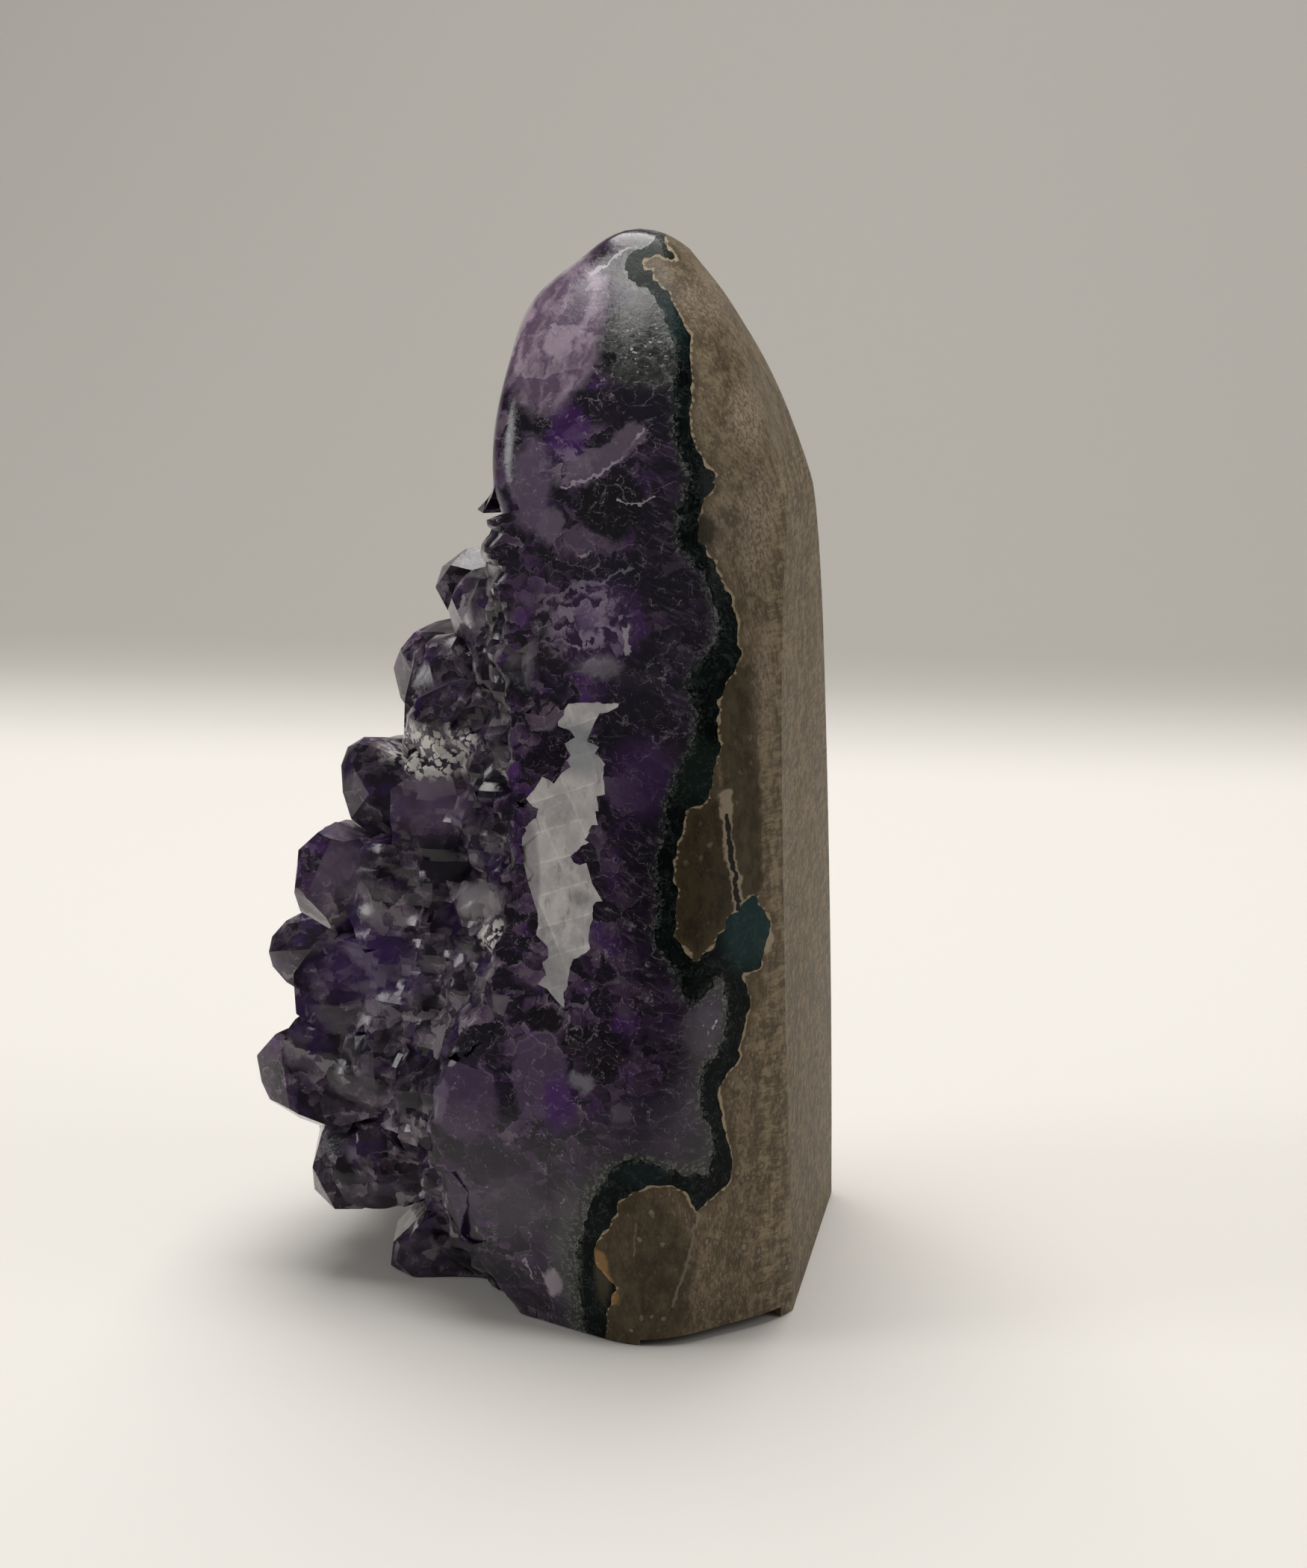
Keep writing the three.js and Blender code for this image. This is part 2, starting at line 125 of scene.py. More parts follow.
def smooth(value, low, high):
    """0 up to low, 1 from high on, and an even curve between."""
    share = min(1, max(0, (value - low) / (high - low)))
    return share * share * (3 - 2 * share)


def corners_at(level, reach, rim_reach):
    """The eight corners at a level from 0 to 1, with the crystal front moved out by reach."""
    at = [spline_point(path, level) for path in CORNER_PATHS]
    fade = 1 - smooth(level, *TOP_LEVELS)
    for name in ("bulge_near", "bulge_far"):
        at[CORNERS.index(name)][1] -= reach * fade
    for rim, nose in (("near_rim", "nose"), ("far_rim", "far_nose")):
        r, n = CORNERS.index(rim), CORNERS.index(nose)
        along = at[r] - at[n]
        along[2] = 0
        at[r] = at[r] + along / np.linalg.norm(along) * rim_reach * fade
    return at


# %% Rings round the stone, fine on the end that shows the layers
ARC_STEPS = 9
SIDE_STEPS = (26, 40, 26, 16, 18, 18, 16, 34)    # from each corner to the next
ROUNDING_SHARE = 0.42                            # a rounding takes at most this much of a side


def rounded_ring(at):
    starts, ends = [], []
    for i, corner in enumerate(at):
        for other, store in ((at[i - 1], starts), (at[(i + 1) % len(at)], ends)):
            length = np.linalg.norm(corner - other)
            store.append(corner + (other - corner) * min(ROUNDING[i], ROUNDING_SHARE * length) / length)
    ring = []
    for i, corner in enumerate(at):
        for t in np.linspace(0, 1, ARC_STEPS):
            ring.append((1 - t) ** 2 * starts[i] + 2 * t * (1 - t) * corner + t * t * ends[i])
        following = starts[(i + 1) % len(at)]
        for t in np.linspace(0, 1, SIDE_STEPS[i] + 1)[1:-1]:
            ring.append(ends[i] + t * (following - ends[i]))
    return ring


print("one ring has", len(rounded_ring(corners_at(0, 0, 0))), "points")


# %% A mesh object from plan millimetres
def mesh_object(name, vertices, faces):
    """A mesh object from plan millimetres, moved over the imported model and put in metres."""
    mesh = bpy.data.meshes.new(name)
    mesh.from_pydata([tuple((Vector(v) + SHIFT) * MM) for v in vertices], [], faces)
    mesh.validate()
    thing = bpy.data.objects.new(name, mesh)
    bpy.context.scene.collection.objects.link(thing)
    return thing


# %% [markdown]
# ## Facets beyond the near rim
# The grinding stopped at the near rim, and past it the crystals still stand as they grew. If
# the smooth outline cut them there, they would look polished. So beyond the rim the outline
# falls back and breaks into facets, along an uneven edge. Cells of a Manhattan pattern give
# straight creases, as broken quartz has, where plain noise would give soft waves.

# %% Facets sunk into a ring
FACET_SIZE, FACET_DEPTH = 6.0, 4.0
FACETS_FROM, FACETS_FULL = -1.5, 1.5             # where they set in, mm beyond the rim
FACET_RECEDE, RECEDE_END = 0.55, 9.0             # how much the facets fall back, and up to where
RIM_WAVE, RIM_WAVE_LENGTH = 5.0, 5.0             # how uneven the edge is, in mm
RIM_START = sum(ARC_STEPS + steps - 1 for steps in SIDE_STEPS[:-1])
FRONT_STEPS = SIDE_STEPS[-2] - 1                 # ring points of the front, just before the near rim


def faceted(ring, level):
    """The ring sunk into facets beyond the near rim, where the crystals were never ground."""
    at = corners_at(level, 0, 0)
    rim, nose = at[CORNERS.index("near_rim")], at[CORNERS.index("nose")]
    along = (rim - nose) * (1, 1, 0)
    along /= np.linalg.norm(along)
    inward = np.array((along[1], -along[0], 0))
    grown = 1 - smooth(level, *TOP_LEVELS)
    sunk = []
    for i, p in enumerate(ring[RIM_START - FRONT_STEPS:]):
        late = RIM_WAVE * abs(noise.noise(Vector((0, 0, p[2] / RIM_WAVE_LENGTH))))
        beyond = np.dot(p - rim, along) - late
        share = smooth(beyond, FACETS_FROM, FACETS_FULL) * min(1, i / FRONT_STEPS) * grown
        nearest = noise.voronoi(Vector(p) / FACET_SIZE, distance_metric="MANHATTAN")[0][0]
        fall = FACET_RECEDE * min(RECEDE_END, max(0, beyond))
        sunk.append(p + inward * (FACET_DEPTH * nearest + fall) * share)
    return ring[:RIM_START - FRONT_STEPS] + sunk


# %% The outline as a closed mesh with a domed cap
LEVELS = 190
CAP_SHARES = (0.85, 0.68, 0.5, 0.3)              # rings of the cap, as shares of the topmost ring


def loft(name, reach, rim_reach, natural_rim=False):
    rings = [rounded_ring(corners_at(i / LEVELS, reach, rim_reach)) for i in range(LEVELS + 1)]
    if natural_rim:
        rings = [faceted(ring, i / LEVELS) for i, ring in enumerate(rings)]
    apex, top = np.array(APEX), rings[-1]
    for share in CAP_SHARES:
        flat_rise = np.array((0, 0, (1 - share) * share * (APEX[2] - top[0][2])))
        rings.append([apex + (p - apex) * share + flat_rise for p in top])
    around, climbs = len(top), len(rings) - 1
    vertices = [p for ring in rings for p in ring]
    foot, tip = len(vertices), len(vertices) + 1
    vertices += [np.mean(rings[0], axis=0), apex]
    faces = []
    for j in range(around):
        k = (j + 1) % around
        faces.append((foot, k, j))
        faces += [(i * around + j, i * around + k, (i + 1) * around + k, (i + 1) * around + j)
                  for i in range(climbs)]
        faces.append((climbs * around + j, climbs * around + k, tip))
    return mesh_object(name, vertices, faces)


bed = loft("bed", -FRONT_INSET, -RIM_INSET)
skin = loft("skin", FRONT_REACH, RIM_REACH)
limit = loft("limit", FRONT_REACH, RIM_REACH, natural_rim=True)
for outline in (bed, skin, limit):
    print(outline.name, "has", len(outline.data.vertices), "points")


# %% [markdown]
# ## Cutting and joining
# The layers are found the way a saw would find them: one stone, parted along curved sheets.
# A boolean modifier does that, and the manifold solver is quick enough for fine meshes as
# long as every body is closed.

# %% Booleans as plain calls
def combine(thing, operation, tool):
    """The boolean applied to thing for good. The tool is used up."""
    modifier = thing.modifiers.new("cut", "BOOLEAN")
    modifier.operation = operation
    modifier.object = tool
    modifier.solver = "MANIFOLD"
    graph = bpy.context.evaluated_depsgraph_get()
    mesh = bpy.data.meshes.new_from_object(thing.evaluated_get(graph))
    thing.modifiers.clear()
    old, thing.data = thing.data, mesh
    bpy.data.meshes.remove(old)
    mesh.name = thing.name
    bpy.data.objects.remove(tool)
    return thing


def copy_of(thing, name):
    twin = bpy.data.objects.new(name, thing.data.copy())
    bpy.context.scene.collection.objects.link(twin)
    return twin


def block(name, size, at, turn=(0, 0, 0)):
    sides = np.array([(x, y, z) for x in (-1, 1) for y in (-1, 1) for z in (-1, 1)]) * np.array(size) / 2
    spin = Matrix.Rotation(turn[0], 3, "X") @ Matrix.Rotation(turn[1], 3, "Y")
    spin = spin @ Matrix.Rotation(turn[2], 3, "Z")
    corners = [spin @ Vector(side) + Vector(at) for side in sides]
    faces = [(0, 1, 3, 2), (4, 6, 7, 5), (0, 4, 5, 1), (2, 3, 7, 6), (0, 2, 6, 4), (1, 5, 7, 3)]
    return mesh_object(name, corners, faces)


# %% [markdown]
# ## Crystals
# Amethyst grows as six-sided prisms with a six-faced point, packed so tightly that mostly the
# points show. Each one here is such a prism, rooted in the crust and leaning a little, and its
# point is made of three rings, because real points are stepped and a little worn. The large
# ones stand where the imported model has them, because the same seeded draws place them, and
# many small ones fill the gaps between, as they do on the stone.

# %% The seeded draws behind the large crystals
CRYSTAL_SEED = 20
WORD = 0xFFFFFFFF


def seeded_draws(seed):
    state = seed
    while True:
        state = (state + 0x6D2B79F5) & WORD
        t = ((state ^ (state >> 15)) * (1 | state)) & WORD
        t = ((t + (((t ^ (t >> 7)) * (61 | t)) & WORD)) & WORD) ^ t
        yield ((t ^ (t >> 14)) & WORD) / 4294967296


# %% One crystal, standing on its root
ROOT_DEPTH = 9
POINT_SLOPE = 1.05
WORN_POINT = ((0.0, 1.0), (0.46, 0.76), (0.82, 0.40))    # shares of the point's height and radius
WORN_TIP = 0.95


def crystal_solid(radius, shaft, skew, turn, foot, direction, sides=None):
    """Vertices and faces of a six-sided crystal that rises from foot along direction."""
    sides = sides or [1] * 6
    spin = Vector((0, 0, 1)).rotation_difference(direction).to_matrix()
    point = Vector((skew[0], skew[1], radius * POINT_SLOPE))
    vertices, faces = [Vector((0, 0, 0))], []
    rings = [(Vector((0, 0, 0)), 1.0)]
    rings += [(Vector((0, 0, shaft)) + point * climb, wide) for climb, wide in WORN_POINT]
    for middle, wide in rings:
        for k in range(6):
            angle = k * math.pi / 3
            wear = 1 + (1 - wide) * 0.4 * math.sin(7.3 * k + 13 * radius)
            flat = Vector((math.cos(angle), math.sin(angle), 0)) * radius * sides[k] * wide * wear
            vertices.append(middle + flat)
    vertices.append(Vector((0, 0, shaft)) + point * WORN_TIP)
    for k in range(6):
        a, b = 1 + k, 1 + (k + 1) % 6
        faces.append((0, b, a))
        faces += [(a + r, b + r, b + r + 6, a + r + 6) for r in (0, 6, 12)]
        faces.append((a + 18, b + 18, 25))
    placed = [spin @ (Matrix.Rotation(turn, 3, "Z") @ v) + Vector(foot) for v in vertices]
    return placed, faces


def bed_path(level):
    at = corners_at(level, -FRONT_INSET, -RIM_INSET)
    rim_to_rim = ("near_rim", "bulge_near", "bulge_far", "far_rim")
    return [at[CORNERS.index(name)] for name in rim_to_rim]


def bed_point(share, level):
    """A point of the crystal bed: share runs evenly from the near rim, 0, to the far rim, 1."""
    rims_and_bulges = bed_path(level)
    path = [spline_point(rims_and_bulges, t) for t in np.linspace(0, 1, 33)]
    run = np.concatenate(([0], np.cumsum(np.linalg.norm(np.diff(path, axis=0), axis=1))))
    along = share * run[-1]
    return np.array([np.interp(along, run, [p[axis] for p in path]) for axis in range(3)])


def level_of(height):
    levels = np.linspace(0, 1, 401)
    heights = [spline_point(CORNER_PATHS[0], level)[2] for level in levels]
    return float(np.interp(height, heights, levels))


def size_at(level):
    """Crystals stay full-sized up to the middle and get smaller toward the top."""
    return min(1, 0.55 + (1 - level) * 0.9)


def outward_at(share, level):
    sideways = bed_point(min(1, share + 0.03), level) - bed_point(max(0, share - 0.03), level)
    upward = bed_point(share, min(1, level + 0.03)) - bed_point(share, max(0, level - 0.03))
    return Vector(np.cross(upward, sideways)).normalized()


# %% Rows of large crystals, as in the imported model
ROWS = np.arange(5, 118, 12.5)
CRYSTAL_PITCH = 13.2
LEAST_RADIUS, RADIUS_SPREAD = 6.4, 3.4
LEAST_SHAFT, SHAFT_SPREAD = 1.5, 5
TILT, SKEW = 0.42, 0.7


def large_crystals():
    draws = seeded_draws(CRYSTAL_SEED)
    draw = lambda: next(draws)
    made = []
    for row, z in enumerate(ROWS):
        level = level_of(z)
        thirds = [bed_point(share, level) for share in (0, 0.5, 1)]
        width = np.linalg.norm(thirds[1] - thirds[0]) + np.linalg.norm(thirds[2] - thirds[1])
        count = max(2, math.floor(width / CRYSTAL_PITCH + 0.5))
        for i in range(count + 1):
            share = min(1, max(0, (i + 0.5 * (row % 2) + 0.5 * (draw() - 0.5)) / count))
            here = bed_point(share, level)
            tilt = Vector((draw() - 0.5, draw() - 0.5, draw() - 0.5)) * 2 * TILT
            direction = (outward_at(share, level) + tilt).normalized()
            size = size_at(level)
            radius = (LEAST_RADIUS + RADIUS_SPREAD * draw()) * size
            shaft = ROOT_DEPTH + (LEAST_SHAFT + SHAFT_SPREAD * draw()) * size
            skew = ((draw() - 0.5) * SKEW * radius, (draw() - 0.5) * SKEW * radius)
            turn = draw() * math.pi
            foot = Vector(here) - direction * ROOT_DEPTH
            made.append(crystal_solid(radius, shaft, skew, turn, foot, direction))
    return made


large = large_crystals()
print("large crystals:", len(large))


# %% Small crystals in the gaps
SMALL_SEED = 7
SMALL_COUNT = 320
SMALL_TOP = 0.61                   # above this level the top was ground
SMALL_ROOT = 6
rng = np.random.default_rng(SMALL_SEED)


def small_crystals():
    made = []
    for _ in range(SMALL_COUNT):
        share, level = rng.uniform(0, 1), rng.uniform(0.02, 0.66)
        direction = (outward_at(share, level) + Vector(rng.uniform(-0.6, 0.6, 3))).normalized()
        radius = rng.uniform(1.8, 4.2) * size_at(level)
        rise = rng.uniform(2, 9) - radius
        skew = rng.uniform(-0.35, 0.35, 2) * radius
        foot = Vector(bed_point(share, level)) - direction * SMALL_ROOT
        sides = list(rng.uniform(0.82, 1.1, 6))
        turn = rng.uniform(0, math.pi)
        if level < SMALL_TOP:
            made.append(crystal_solid(radius, SMALL_ROOT + rise, skew, turn, foot, direction, sides))
    return made


small = small_crystals()
print("small crystals:", len(small))


def joined(solids, name):
    """One body out of many closed ones, joined two by two so that each join stays small."""
    things = [mesh_object(f"{name}_{i}", *solid) for i, solid in enumerate(solids)]
    while len(things) > 1:
        pairs = [combine(a, "UNION", b) for a, b in zip(things[::2], things[1::2])]
        things = pairs + (things[-1:] if len(things) % 2 else [])
    return things[0]


druse = joined(large + small, "druse")
print("joined crystals have", len(druse.data.polygons), "faces")


# %% [markdown]
# ## The edges between the layers
# On the polished end the lining runs like a coastline: lobes of several millimetres with small
# scallops on them. A line with given points gives the lobes, which are where the photo
# shows them. The scallops are added by noise, at half a millimetre, because nobody would
# choose five hundred points by hand.

# %% The two edges as [y, z] on the polished end
BASALT_EDGE = [
    (11, -6), (11.5, 4), (12.8, 8.6), (9.9, 11.7), (10.2, 14.5), (12.3, 17.4), (13.5, 20.8), (16.6, 22.9),
    (20.7, 23), (22.3, 21.6), (23.6, 18.4), (28, 21.9), (28.3, 25.2), (26.7, 31.8), (26.4, 35.7),
    (28.7, 39), (30.4, 47.5), (29.2, 51.4), (31.4, 51.2), (33, 57.6), (30.3, 62.5), (27.8, 59.4),
    (25.6, 55.6), (23.1, 53.9), (20.7, 58), (21.2, 63.1), (20.2, 66.7), (22.2, 74.8), (25, 76),
    (26.2, 83.6), (25.6, 88.7), (28.2, 94), (28.1, 99.5), (25, 106.9), (22.7, 109.9), (22.5, 114.3),
    (24.7, 117.6), (22.5, 120.5), (20.7, 125), (20.4, 132.7), (19.8, 136.6), (17.4, 139.5), (14.8, 142.2),
    (12, 143.4), (10.1, 144.7), (7.6, 145.6), (8.6, 146.4), (11.4, 146.6), (14.6, 145.8), (15.6, 146.5),
    (13.5, 147.3), (11.8, 148.4), (11.6, 156),
]
AMETHYST_EDGE = [
    (7.6, -6), (7.8, 4), (7.2, 12.1), (8.5, 16.9), (10.2, 21.6), (12.9, 25.6), (15.6, 26.9), (19.7, 25.5),
    (22.5, 24.3), (25.4, 24), (26, 29), (24.4, 33), (24.4, 39), (27.2, 42.5), (27.6, 47), (26.4, 52.2),
    (24.9, 49.3), (22.9, 48.2), (20.6, 53.4), (17.8, 57.8), (18.8, 62.2), (17.6, 67.4), (19, 70.2),
    (19.9, 77), (22.6, 83), (23.6, 87.4), (21.8, 91), (22.6, 93.3), (25.6, 96.7), (26, 99.8),
    (24.2, 104.6), (20.2, 109.9), (19.8, 114.6), (21.4, 118.7), (19, 123.2), (18.1, 127.4), (17.6, 135),
    (15.4, 138.6), (12.6, 141.6), (9, 143), (5.4, 144.4), (4.2, 145.9), (5.4, 147), (8.6, 147.6),
    (9.8, 148.6), (10, 156),
]


# %% Scallops along a line
def fine_line(line, spacing, lobes, grain, seed):
    """The line resampled at spacing, pushed sideways by lobes and finer grain, both in mm."""
    line = np.asarray(line, float)
    run = np.concatenate(([0], np.cumsum(np.linalg.norm(np.diff(line, axis=0), axis=1))))
    stations = np.linspace(0, run[-1], int(run[-1] / spacing))
    points = np.stack([np.interp(stations, run, line[:, axis]) for axis in (0, 1)], axis=1)
    soft = points.copy()
    for _ in range(2):
        soft[1:-1] = (soft[:-2] + 2 * soft[1:-1] + soft[2:]) / 4
    along = np.gradient(soft, axis=0)
    along /= np.linalg.norm(along, axis=1)[:, None]
    side = np.stack([along[:, 1], -along[:, 0]], axis=1)
    push = []
    for s in stations:
        lobe = abs(noise.noise(Vector((s / 2.6, seed, 0)))) * 2 - 0.5
        fleck = noise.noise(Vector((s / 0.9, seed + 5, 0)))
        push.append(lobes * lobe + grain * fleck)
    return soft + side * np.array(push)[:, None]


basalt_line = fine_line(BASALT_EDGE, 0.45, 0.55, 0.22, 3)
amethyst_line = fine_line(AMETHYST_EDGE, 0.45, 0.6, 0.3, 11)
print("fine edges have", len(basalt_line), "and", len(amethyst_line), "points")

# %% Sheets from the edges, wandering as they go in
WANDER_FROM, MEAN_Y, CALM = 34, 22, 0.45         # from this x on inwards, toward this y, by this share
SETBACK, WAVE_UP, WAVE_IN = 3.2, 17, 13          # and back from it, in waves up and inwards
LAYER_REACH, LAYER_BACK = 60, 70
FINE_FROM, COARSE_STEP, FINE_STEP = 20, 5, 2.5


def wandered(x, y, z):
    """The y of a sheet at x, where its edge on the polished end has y and z."""
    inside = np.clip((WANDER_FROM - x) / WANDER_FROM, 0, 1)
    inside = inside * inside * (3 - 2 * inside)
    y = y + inside * CALM * (MEAN_Y - y)
    return y - inside * SETBACK * (0.6 + 0.4 * np.sin(z / WAVE_UP + x / WAVE_IN))


def closed_up(thing):
    """The mesh with its ends filled, cut into triangles and facing outwards."""
    mesh = bmesh.new()
    mesh.from_mesh(thing.data)
    bmesh.ops.holes_fill(mesh, edges=[e for e in mesh.edges if e.is_boundary])
    bmesh.ops.triangulate(mesh, faces=[f for f in mesh.faces if len(f.verts) > 4])
    bmesh.ops.recalc_face_normals(mesh, faces=mesh.faces)
    mesh.to_mesh(thing.data)
    mesh.free()
    return thing


def behind(line, name, offset=0.0):
    """The closed space behind a line, out past the back of the stone."""
    inside = np.arange(-LAYER_REACH, FINE_FROM, COARSE_STEP)
    near_end = np.arange(FINE_FROM, LAYER_REACH + 1, FINE_STEP)
    sections = []
    for x in np.concatenate((inside, near_end)):
        edge = [(wandered(x, y, z) + offset, z) for y, z in line]
        outline = [*edge, (LAYER_BACK, edge[-1][1]), (LAYER_BACK, edge[0][1])]
        sections.append([(x, y, z) for y, z in outline])
    around = len(sections[0])
    vertices = [p for section in sections for p in section]
    faces = []
    for i in range(len(sections) - 1):
        for j in range(around):
            k = (j + 1) % around
            faces.append((i * around + j, (i + 1) * around + j, (i + 1) * around + k, i * around + k))
    return closed_up(mesh_object(name, vertices, faces))


# %% One fine stone, sawn at the base and the back
ground_skin = BVHTree.FromObject(skin, bpy.context.evaluated_depsgraph_get())
bpy.data.objects.remove(skin)
stone = combine(copy_of(bed, "stone"), "UNION", druse)
stone = combine(stone, "INTERSECT", limit)
bpy.data.objects.remove(bed)
BIG = 400
stone = combine(stone, "DIFFERENCE", block("base_saw", (BIG, BIG, BIG), (0, 0, -BIG / 2)))
back_centre = (0, BACK_Y + BIG / 2 * math.cos(BACK_LEAN), BIG / 2 * math.sin(BACK_LEAN))
stone = combine(stone, "DIFFERENCE", block("back_saw", (BIG, BIG, BIG), back_centre, (BACK_LEAN, 0, 0)))

# The lower edge at the near corner is broken, so a thin tilted block is taken off there
CHIP_SIZE, CHIP_AT, CHIP_TURN = (23, 9, 2.4), (38.6, 26.4, 0), (0.08, -0.05, 2.27)
stone = combine(stone, "DIFFERENCE", block("broken_edge", CHIP_SIZE, CHIP_AT, CHIP_TURN))
print("the fine stone has", len(stone.data.polygons), "faces")

# %% The stone parted into its layers
HAIR = 0.03                        # a gap too thin to see, so that faces don't coincide
basalt = combine(copy_of(stone, "basalt"), "INTERSECT", behind(basalt_line, "basalt_space"))
lining = combine(copy_of(stone, "lining"), "INTERSECT", behind(amethyst_line, "lining_space"))
lining = combine(lining, "DIFFERENCE", behind(basalt_line, "basalt_space", -HAIR))
amethyst = combine(copy_of(stone, "amethyst"), "DIFFERENCE", behind(amethyst_line, "lining_space", -HAIR))
for layer in (basalt, lining, amethyst):
    print(layer.name, len(layer.data.polygons))

# %% [markdown]
# ## The calcite crystal
# Calcite splits along flat planes, so its outline on the polished end is a run of short steps.
# It stands in a pocket of the amethyst that gets narrower inwards, and both the crystal and
# its pocket come from one outline, the pocket a hair wider.

# %% Calcite outline, pocket and crystal
CALCITE_OUTLINE = [
    (4.7, 90.8), (5.3, 91.6), (7.8, 91.7), (9.9, 91.8), (13.6, 91.6), (13.4, 91.1), (11.9, 90.3),
    (10.5, 90.1), (9.7, 88.7), (8.4, 85.6), (9.7, 85.1), (10.5, 84.8), (9.8, 83.7), (10.8, 83.1),
    (11.6, 82.1), (11.2, 81.5), (11.2, 80.4), (11.5, 77.5), (10.2, 77.1), (10.4, 76.1), (10.5, 74.8),
    (9.9, 74.7), (10.1, 73.9), (10.5, 72.5), (9.5, 72.4), (8.9, 71.3), (8.2, 70.1), (8.9, 69.8),
    (7.4, 68.7), (5.9, 67.1), (6.4, 66.3), (7.4, 66), (8.5, 66.5), (9.1, 64.7), (9.6, 63.1),
    (10.4, 62), (11.2, 60.9), (10, 60.6), (9.6, 60), (9.7, 58.1), (9.2, 57), (9, 54.7),
    (9.3, 53.6), (8.4, 52.6), (6.7, 51.5), (5.9, 49.8), (5.6, 47.4), (5.1, 46.3), (5.1, 43.9),
    (3.7, 44.8), (2.3, 46.1), (0.6, 46.5), (2, 48.1), (1.3, 50), (2.2, 50.8), (2.1, 52.5),
    (0.1, 54), (0.4, 56), (0.3, 57.5), (-0.8, 60), (-1.6, 62.4), (-2.3, 64.8), (-2.7, 68),
    (-2.7, 69.1), (-2, 70.3), (-2.3, 70.9), (-0.7, 72.3), (-0.1, 72.6), (0.3, 74.2), (-0.9, 74.5),
    (-2, 75.7), (-0.6, 77.2), (0.8, 79.5), (2.2, 79), (2.9, 78.5), (4.3, 80.3), (5.8, 81.3),
    (5, 82.4), (5.7, 83.3), (5.2, 84.1), (4.7, 85.1), (6.5, 86.1), (5.6, 87.2), (3.6, 87.9),
    (3.5, 88.6), (4.6, 89.7),
]
CALCITE_CENTRE = (4.5, 68)
CALCITE_FLOOR_X, CALCITE_LENGTH, CALCITE_TAPER = 22, 30, 0.72
CLEAVAGE_STEP, TOOTH_LENGTH, TOOTH_TURN = 0.25, 0.9, 0.82


def cleaved_outline():
    """The outline with small saw-tooth steps where cleavage planes meet the polished end."""
    teeth = []
    corners = np.array(CALCITE_OUTLINE, float)
    for i, start in enumerate(corners):
        end = corners[(i + 1) % len(corners)]
        length = np.linalg.norm(end - start)
        side = np.array(((end - start)[1], -(end - start)[0])) / length
        count = max(1, int(length / TOOTH_LENGTH))
        for k in range(count):
            depth = CLEAVAGE_STEP * noise.noise(Vector((i * 3.1, k * 1.7, 2)))
            teeth.append(start + (end - start) * k / count + side * depth)
            teeth.append(start + (end - start) * (k + TOOTH_TURN) / count + side * depth)
    return np.array(teeth)


def calcite_space(name, grow):
    """The crystal's prism, narrower inwards, grown all round by a hair for its pocket."""
    outline = cleaved_outline()
    away = outline - np.array(CALCITE_CENTRE)
    outline = outline + away / np.linalg.norm(away, axis=1)[:, None] * grow
    count = len(outline)
    centre = np.array(CALCITE_CENTRE)
    vertices, faces = [], []
    for x, scale in ((CALCITE_FLOOR_X - grow, CALCITE_TAPER), (CALCITE_FLOOR_X + CALCITE_LENGTH, 1)):
        vertices += [(x, *(centre + (p - centre) * scale)) for p in outline]
    for j in range(count):
        k = (j + 1) % count
        faces.append((j, k, count + k, count + j))
    faces += [tuple(range(count)), tuple(range(count, 2 * count))]
    return closed_up(mesh_object(name, vertices, faces))


calcite = combine(copy_of(stone, "calcite"), "INTERSECT", calcite_space("calcite_space", 0))
amethyst = combine(amethyst, "DIFFERENCE", calcite_space("calcite_pocket", HAIR))
bpy.data.objects.remove(stone)
print("calcite", len(calcite.data.polygons), "amethyst", len(amethyst.data.polygons))

# %% [markdown]
# ## What each vertex knows
# A finish often depends on how far a point lies from the next layer: the cream line hugs the
# lining, and the amethyst is darkest near it. Painting that by hand would slide off the line.
# Here each vertex measures its own distance to the edge and keeps it as an attribute. It also
# keeps whether it lies on the ground outline, because only there was the stone polished.

# %% Loose crumbs go, and distances are stored
def keep_largest(thing):
    mesh = bmesh.new()
    mesh.from_mesh(thing.data)
    mesh.verts.ensure_lookup_table()
    unseen, islands = set(mesh.verts), []
    while unseen:
        island, stack = set(), [unseen.pop()]
        while stack:
            vertex = stack.pop()
            island.add(vertex)
            for edge in vertex.link_edges:
                other = edge.other_vert(vertex)
                if other in unseen:
                    unseen.discard(other)
                    stack.append(other)
        islands.append(island)
    largest = max(islands, key=len)
    bmesh.ops.delete(mesh, geom=[v for v in mesh.verts if v not in largest], context="VERTS")
    bmesh.ops.dissolve_degenerate(mesh, dist=1e-6, edges=mesh.edges)
    mesh.to_mesh(thing.data)
    mesh.free()
    return len(islands) - 1


def plan_points(thing):
    points = np.empty(len(thing.data.vertices) * 3)
    thing.data.vertices.foreach_get("co", points)
    return points.reshape(-1, 3) / MM - np.array(SHIFT)


AT_ONCE = 2000                     # points measured together, so that memory stays small


def distance_to(points, line):
    """How far each point lies from the sheet behind a line, in mm, measured across the end."""
    y, z = line[::2, 0][None], line[::2, 1][None]
    result = np.empty(len(points))
    for start in range(0, len(points), AT_ONCE):
        part = points[start:start + AT_ONCE]
        gap = np.hypot(wandered(part[:, :1], y, z) - part[:, 1:2], z - part[:, 2:3])
        result[start:start + AT_ONCE] = gap.min(axis=1)
    return result


def store(thing, name, values):
    attribute = thing.data.attributes.new(name, "FLOAT", "POINT")
    attribute.data.foreach_set("value", np.asarray(values, dtype=np.float32))


def is_ground(vertex):
    """1 on the ground and sawn faces, 0 on faces that grew."""
    return float(vertex.co.z < TOUCH or ground_skin.find_nearest(vertex.co, TOUCH)[0] is not None)


